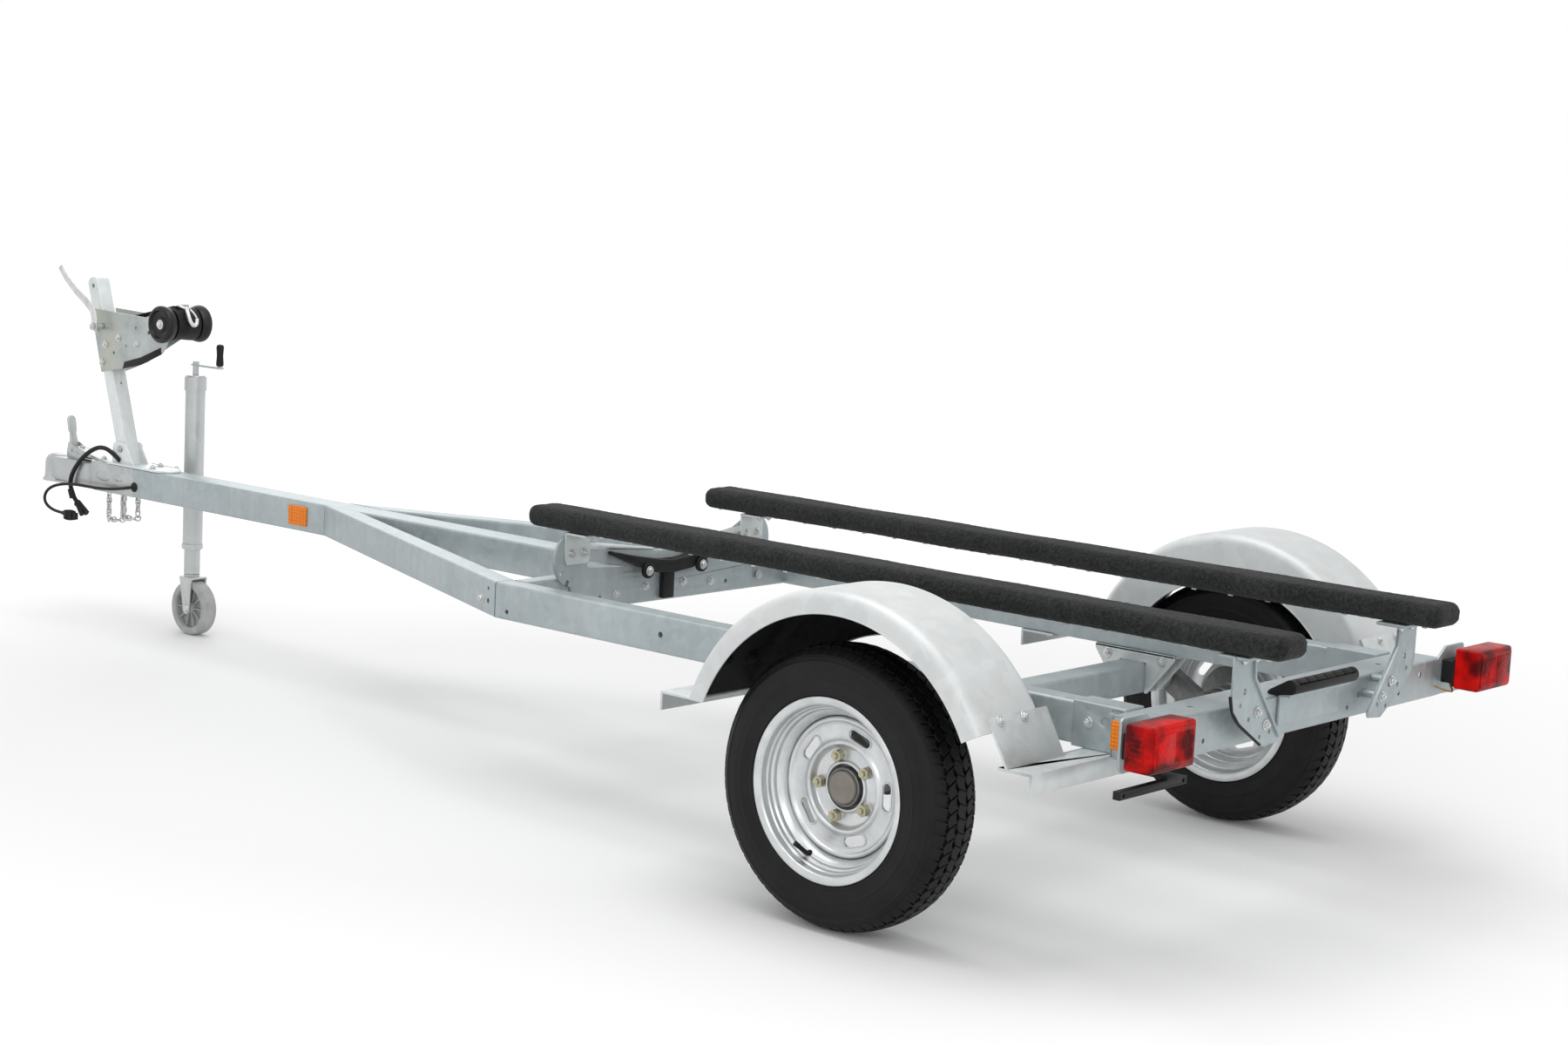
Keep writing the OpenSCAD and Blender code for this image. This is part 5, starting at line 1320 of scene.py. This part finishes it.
# Coupler
# A folded steel coupler welded over the tongue's end: a channel with pressed sides, a
# sloping top plate, a domed cup over the ball and a lever that stands on its neck.
_, _, _, _, qz0, qz1 = reach("coupler")
ball_at, channel_end = 3300.0, tongue_end + 190
wall = 5
side_line = [(tongue_end + 0.5, qz0), (tongue_end + 0.5, qz1 - 0.4), (channel_end - 14, qz1 - 0.4),
    (channel_end, qz1 - 8), (channel_end, qz0 + 18), (channel_end - 16, qz0)]
sides = []
for s in (1, -1):
    y0, y1 = sorted((s * (tongue_side - wall), s * (tongue_side - 0.2)))
    sides.append(outline("side", side_line, (y0, y1), "y"))
sides.append(block("top", (tongue_end + 0.5, -tongue_side + 2, qz1 - wall),
    (channel_end - 12, tongue_side - 2, qz1 - 0.4)))
channel = edges(joined("channel", *sides), 2.2, 3)
bosses = []
for s in (1, -1):
    for x, r, long in ((tongue_end + 128, 15, 34), (tongue_end + 62, 9, 22)):
        bpy.ops.object.select_all(action="DESELECT")
        bpy.ops.mesh.primitive_uv_sphere_add(segments=32, ring_count=16, radius=0.001,
            location=spot(x, s * (tongue_side - 2), qz0 + 42), scale=(long, 5, r))
        bosses.append(settle("boss"))
neck = outline("neck", [(channel_end - 2, -tongue_side + 2), (channel_end - 2, tongue_side - 2), (3230, 29),
    (3262, 31), (ball_at, 33), (ball_at, -33), (3262, -31), (3230, -29)], (qz0 + 1, qz1 - 9), "z")
drill(neck, rod("socket", (ball_at, 0, qz0 - 6), (ball_at, 0, qz0 + 46), 25.6, 48))
edges(neck, 4, 3)
cup = turned("cup", pushed([(25.6, 0.3), (43, 0.3), (43, 5), (39, 9), (37.5, 16), (37, 46), (35, 58),
    (30, 66), (22, 71), (12, 73.4), (0, 73.8), (0, 46.3), (25.6, 46.3)], 1.4), 64, (ball_at, 0, qz0), "z")
lips = [bent_rod("flange", [(channel_end - 6, s * 30, qz0 + 3), (3230, s * 31, qz0 + 3),
    (3270, s * 36, qz0 + 3), (ball_at, s * 39, qz0 + 3)], 3, 3) for s in (1, -1)]
slope = outline("slope", [(channel_end - 40, qz1 - 0.5), (3206, qz1 + 26), (3212, qz1 + 24), (3216, qz1 + 14),
    (3206, qz1 + 10), (channel_end - 36, qz1 - 6)], (-19, 19), "y")
edges(slope, 1.6, 2)
coupler = smooth(joined("coupler_shell", channel, neck, cup, *bosses, *lips), 40)
coupler_zinc = zinc("coupler_zinc", (0.36, 0.37, 0.37), (0.60, 0.62, 0.62), 0.26, 0.75, 40.0, 0.4)
wear(coupler, coupler_zinc, "galvanised", "coupler")

latch_base = 3230
lean_lever = radians(12)
lever_parts = [slope]
for s in (1, -1):
    y0, y1 = sorted((s * 12.5, s * 15.5))
    lever_parts.append(edges(outline("cheek", [(3172, qz1 - 8), (3180, qz1 + 20), (3212, qz1 + 26),
        (3228, qz1 + 34), (3240, qz1 + 34), (3246, qz1 + 6), (3244, qz1 - 8)], (y0, y1), "y"), 1.2))
lever_line = [(-13, 0), (13, 0), (12, 30), (9, 50), (12.4, 58), (12.8, 86), (10, 94), (4, 98), (-4, 98),
    (-10, 94), (-12.8, 86), (-12.4, 58), (-9, 50), (-12, 30)]
blade = outline("blade", lever_line, (-4, 4), "x")
for vertex in blade.data.vertices:
    local = (vertex.co - spot(0, 0, 0)) * 1000
    vertex.co = spot(latch_base + local.x * cos(lean_lever) + (local.z + 2) * sin(lean_lever), local.y, qz1
        + 6 + (local.z + 2) * cos(lean_lever) - local.x * sin(lean_lever))
lever_parts += [edges(blade, 2.4, 3), rod_y("pivot", 3226, qz1 + 14, -18, 18, 5, 20),
    rod_y("pin", 3196, qz1 + 10, -18, 18, 4, 20), bent_rod("spring",
    [(3196 + 6 * cos(t * 0.8), 6 * sin(t * 0.8), qz1 + 27 - 0.35 * t) for t in range(40)], 1.2, 2),
    rod("ring", (3244, 0, qz1 - 4), (3244, 0, qz1 + 12), 8, 24, 6)]
latch = smooth(joined("coupler_lever", *lever_parts))
wear(latch, coupler_zinc, "bright_zinc", "coupler_latch")

# Safety chains, looped under the channel
chain_z0 = reach("safety_chains")[4]


def link(centre, way, turned_by):
    """One oval chain link of 5 mm wire."""
    way = Vector(way).normalized()
    side = way.cross(Vector((0, 1, 0)) if turned_by else Vector((0, 1, 0)).cross(way)).normalized()
    side = side if side.length else Vector((0, 1, 0))
    ring = []
    for i in range(17):
        t = 2 * pi * i / 16
        ring.append(tuple(Vector(centre) + way * (12.5 * cos(t)) + side * (6.4 * sin(t))))
    return bent_rod("link", ring, 2.4, 2, False)


links = []
for s in (1, -1):
    y = s * (tongue_side - 14)
    route = [Vector((tongue_end + 60, y, qz0 + 8 - 15 * i)) for i in range(6)]
    route += [Vector((tongue_end + 60 + 15 * i + 8, y, chain_z0 + 8)) for i in range(1, 4)]
    route += [Vector((tongue_end + 120, y, chain_z0 + 12 + 15 * i)) for i in range(5)]
    for i, (a, b) in enumerate(zip(route, route[1:] + [route[-1] + Vector((0, 0, 15))])):
        links.append(link(a, b - a, i % 2))
wear(smooth(joined("safety_chain_links", *links)), bright_zinc, "bright_zinc", "safety_chains")

# A black lead over the coupler, with three rubber boots at its end
lead = bent_rod("coupler_lead", [(2996, 26, frame_top + 12), (3020, 27, frame_top + 26),
    (3060, 27, frame_top + 40), (3100, 30, frame_top + 34), (3140, 39, frame_top + 6),
    (3172, 43, frame_top - 30), (3190, 43, frame_top - 62), (3186, 40, frame_top - 96),
    (3164, 36, frame_top - 122), (3130, 34, frame_top - 140)], 6, 5)
boots = [rod("boot", (3166, 36, frame_top - 120), (3128, 33, frame_top - 143), 10, 24, 8),
    rod("boot", (3150, 42, frame_top - 128), (3128, 48, frame_top - 146), 7, 24, 6),
    rod("boot", (3186, 44, frame_top - 84), (3178, 41, frame_top - 108), 8, 24, 9)]
wear(smooth(joined("coupler_lead", lead, *boots)), cable_black, "cable_black")

# Jack
# A top-wind trailer jack: a bolted plate with a pivot, an outer tube in a swivel collar,
# an inner leg, and a caster fork with a pale grey moulded wheel. It stands on that wheel.
ix0, ix1, iy0, iy1, leg_z0, leg_z1 = reach("jack_leg")
jack_x, jack_y = (ix0 + ix1) / 2, (iy0 + iy1) / 2
jack_axis = ((jack_x, jack_y, 0), "z")
tube_z0 = reach("jack_tube")[4]
tube_z1 = reach("jack_crank")[4]
pivot_z = frame_top - 40
kx0, kx1, _, _, kz0, kz1 = reach("jack_bracket")
back_plate = outline("plate", [(kx0, kz0 + 8), (kx0, kz1 - 8), (kx0 + 8, kz1), (kx1 - 8, kz1), (kx1, kz1 - 8),
    (kx1, kz0 + 8), (kx1 - 8, kz0), (kx0 + 8, kz0)], (-tongue_side - 7.8, -tongue_side - 0.2), "y")
drill(back_plate, *(hole(jack_x + a, -tongue_side - 4, pivot_z + b, "y", 4, 12) for a,
    b in ((0, 34), (0, -34), (34, 0), (-34, 0))))
collar_y0 = jack_y + 26
bracket_bits = [edges(back_plate, 1.4), turned("flange", [(17, collar_y0 + 12), (23, collar_y0 + 12),
    (23, -tongue_side - 8), (17, -tongue_side - 8)], 48, (jack_x, 0, pivot_z)),
    turned("spigot", pushed([(0.4, collar_y0 + 1), (15, collar_y0 + 1), (15, -tongue_side - 8),
    (0.4, -tongue_side - 8)], 1), 48, (jack_x, 0, pivot_z))]
wear(smooth(joined("jack_swivel_plate", *bracket_bits)), bright_zinc, "bright_zinc", "jack_bracket")
bolts("jack_plate_bolts", *((jack_x + a, -tongue_side - 8, pivot_z + b, (0, -1, 0)) for a in (-44, 44)
    for b in (-34, 34)), across=13, high=7)

outer = turned("outer", pushed([(26, tube_z0), (26, tube_z1 - 4), (24, tube_z1), (0.4, tube_z1),
    (0.4, tube_z1 - 4), (21.4, tube_z1 - 6), (21.2, tube_z0)], 0.6), 64, *jack_axis)
jack_parts = [outer, turned("collar", pushed([(15.4, jack_y + 22), (25, jack_y + 22), (25, collar_y0 + 10.8),
    (15.4, collar_y0 + 10.8)], 1.2), 48, (jack_x, 0, pivot_z)),
    turned("ring", [(25.6, tube_z1 - 40), (29, tube_z1 - 40), (29, tube_z1 - 4), (25.6, tube_z1 - 4)], 64,
    *jack_axis), turned("shoe", [(25.6, tube_z0 + 2), (28, tube_z0 + 2), (28, tube_z0 + 14),
    (25.6, tube_z0 + 14)], 64, *jack_axis), bent_rod("pull_ring",
    [(jack_x + 34 + 9 * cos(t * 0.5), jack_y + 30, pivot_z + 26 + 9 * sin(t * 0.5)) for t in range(14)], 1.8,
    3), rod("pull_pin", (jack_x + 23, jack_y + 30, pivot_z + 18), (jack_x + 32, jack_y + 30, pivot_z + 24), 4,
    16)]
jack_zinc = zinc("jack_zinc", (0.44, 0.455, 0.455), (0.62, 0.635, 0.635), 0.26, 0.7, 30.0, 0.5)
wear(smooth(joined("jack_outer_tube", *jack_parts)), jack_zinc, "bright_zinc", "jack_tube", body="jack_tube")

crank = [rod("stub", (jack_x, jack_y, tube_z1), (jack_x, jack_y, tube_z1 + 26), 8, 28),
    edges(block("arm", (jack_x - 108, jack_y - 8, tube_z1 + 24), (jack_x + 12, jack_y + 8, tube_z1 + 30)), 2,
    3), rod("pin", (jack_x - 100, jack_y, tube_z1 + 30), (jack_x - 100, jack_y, tube_z1 + 90), 4, 20),
    rod("nut", (jack_x, jack_y, tube_z1 + 30), (jack_x, jack_y, tube_z1 + 37), 9, 6)]
wear(smooth(joined("jack_crank_arm", *crank)), jack_zinc, "bright_zinc", "jack_crank", body="jack_tube")
knob = turned("jack_crank_grip", pushed([(4.2, tube_z1 + 32), (9, tube_z1 + 32), (10, tube_z1 + 38),
    (8.4, tube_z1 + 60), (10, tube_z1 + 82), (8, tube_z1 + 88), (4.2, tube_z1 + 88)], 1.4), 40,
    (jack_x - 100, jack_y, 0), "z")
wear(knob, lamp_black, "bright_zinc", body="jack_tube")

inner = turned("inner", pushed([(8.6, leg_z0), (21, leg_z0), (21, leg_z1), (8.6, leg_z1)], 0.6), 56,
    *jack_axis)
wear(smooth(joined("jack_inner_leg", inner, turned("shoe", [(20.6, leg_z0 + 1), (21.08, leg_z0 + 1),
    (21.08, leg_z0 + 9), (20.6, leg_z0 + 9)], 56, *jack_axis))), jack_zinc, "bright_zinc", "jack_leg",
    body="jack_leg")

hub_x, wheel_r = jack_x - 12, 72
crown_z = reach("jack_caster")[5] - 44
fork = [turned("crown", pushed([(0.4, crown_z), (20.6, crown_z), (20.6, crown_z + 5.6), (0.4, crown_z + 5.6)],
    0.8), 48, *jack_axis), turned("stem", [(0.4, crown_z), (7.9, crown_z), (7.9, crown_z + 44),
    (0.4, crown_z + 44)], 32, *jack_axis), edges(block("roof", (jack_x - 32, jack_y - 26.5, crown_z - 5),
    (jack_x + 20, jack_y + 26.5, crown_z)), 2.4, 3)]
fork_line = [(jack_x - 32, crown_z - 1), (jack_x + 20, crown_z - 1), (jack_x + 16, crown_z - 14),
    (hub_x + 13, wheel_r - 6)]
fork_line += [(hub_x + 13 * cos(radians(t)), wheel_r - 3 + 13 * sin(radians(t)))
    for t in range(-20, -161, -20)] + [(hub_x - 13, wheel_r - 6), (jack_x - 30, crown_z - 14)]
for s in (1, -1):
    y0, y1 = sorted((jack_y + s * 21.7, jack_y + s * 26.3))
    cheek = outline("cheek", fork_line, (y0, y1), "y")
    drill(cheek, rod_y("h", hub_x, wheel_r, jack_y - 40, jack_y + 40, 8.1, 24))
    fork.append(edges(cheek, 1))
wear(smooth(joined("jack_caster_fork", *fork)), jack_zinc, "bright_zinc", "jack_caster", body="jack_caster")

grey, place = new_finish("jack_wheel_grey")
speckle = place.noise(300.0, 3.0)
grime = place.noise(22.0, 4.0, 0.6)
set_finish(grey, speckle, 0.0002, Base_Color=(speckle * 0.3 + grime.over(0.3, 0.75) * 0.7).tint((0.25, 0.26,
    0.26), (0.52, 0.53, 0.52)), Roughness=grime * 0.2 + 0.45)
rim_line = pushed([(52, -14), (54, -19), (58, -20), (69, -20), (71.6, -16), (72, -8), (72, 8), (71.6, 16),
    (69, 20), (58, 20), (54, 19), (52, 14)], 0.8)
wheel_bits = [turned("tread", rim_line, 88, (hub_x, jack_y, wheel_r)),
    turned("web", [(13, -3.2), (53, -3.2), (53, 3.2), (13, 3.2)], 64, (hub_x, jack_y, wheel_r)),
    turned("hub", pushed([(8.2, -20), (15, -20), (15, 20), (8.2, 20)], 1), 48, (hub_x, jack_y, wheel_r))]
rib = block("rib", (hub_x + 14, jack_y - 13, wheel_r - 1.6), (hub_x + 53, jack_y + 13, wheel_r + 1.6))
wheel_bits += ring_of(rib, 10, hub_x, jack_y, wheel_r)
wear(smooth(joined("jack_wheel_moulding", *wheel_bits), 35), grey, "grey_plastic", "jack_wheel",
    body="jack_wheel")
axle_bits = [rod_y("axle", hub_x, wheel_r, jack_y - 27, jack_y + 27, 8, 28)]
for s in (1, -1):
    axle_bits.append(rod_y("head", hub_x, wheel_r, jack_y + s * 26.6, jack_y + s * 30, 11, 28, 9))
wear(smooth(joined("jack_wheel_axle", *axle_bits)), bright_zinc, "grey_plastic", body="jack_wheel")

# Studio
# A pale floor that fades into a white surround, a large soft lamp overhead, a weaker one
# from the rear left and a faint one from the front right.
white, place = new_finish("studio_floor")
away = place.node("VectorMath", {"operation": "LENGTH"}, {0: place}, 1)
fade = away.over(1.2, 5.5)
fade = place.node("CombineXYZ", None, {0: fade, 1: fade, 2: fade})
set_finish(white, Base_Color=(0.80, 0.80, 0.80), Roughness=0.85, Emission_Color=fade, Emission_Strength=0.5)
bpy.ops.object.select_all(action="DESELECT")
bpy.ops.mesh.primitive_plane_add(size=60, location=(0, 0, 0))
floor = settle("studio_floor")
floor.data.materials.append(white)


def lamp(name, place, target, power, width, depth):
    light = bpy.data.lights.new(name, "AREA")
    light.shape = "RECTANGLE"
    light.size, light.size_y = width, depth
    light.energy = power
    piece = in_scene(name, light)
    piece.location = spot(*place)
    piece.rotation_euler = (spot(*target) - spot(*place)).to_track_quat("-Z", "Y").to_euler()


lamp("top_lamp", (800, 900, 4600), (700, 0, 0), 105, 4.2, 3.2)
lamp("left_lamp", (-2600, 4200, 2600), (300, 0, 300), 34, 2.6, 1.8)
lamp("front_lamp", (4600, -1800, 1900), (900, 0, 300), 18, 2.0, 1.6)

surround = bpy.data.worlds.new("surround")
bpy.context.scene.world = surround
surround.use_nodes = True
sky = surround.node_tree
rays = sky.nodes.new("ShaderNodeLightPath").outputs
seen, shiny, through = (Socket(sky, rays[f"Is {kind} Ray"]) for kind in ("Camera", "Glossy", "Transmission"))
glow_level = seen.math("MAXIMUM", seen.math("MAXIMUM", seen, shiny), through) * 0.28 + 0.72
background = next(n for n in sky.nodes if n.type == "BACKGROUND")
background.inputs["Color"].default_value = (1, 1, 1, 1)
sky.links.new(background.inputs["Strength"], glow_level.link)
bpy.context.scene.view_settings.view_transform = "Standard"
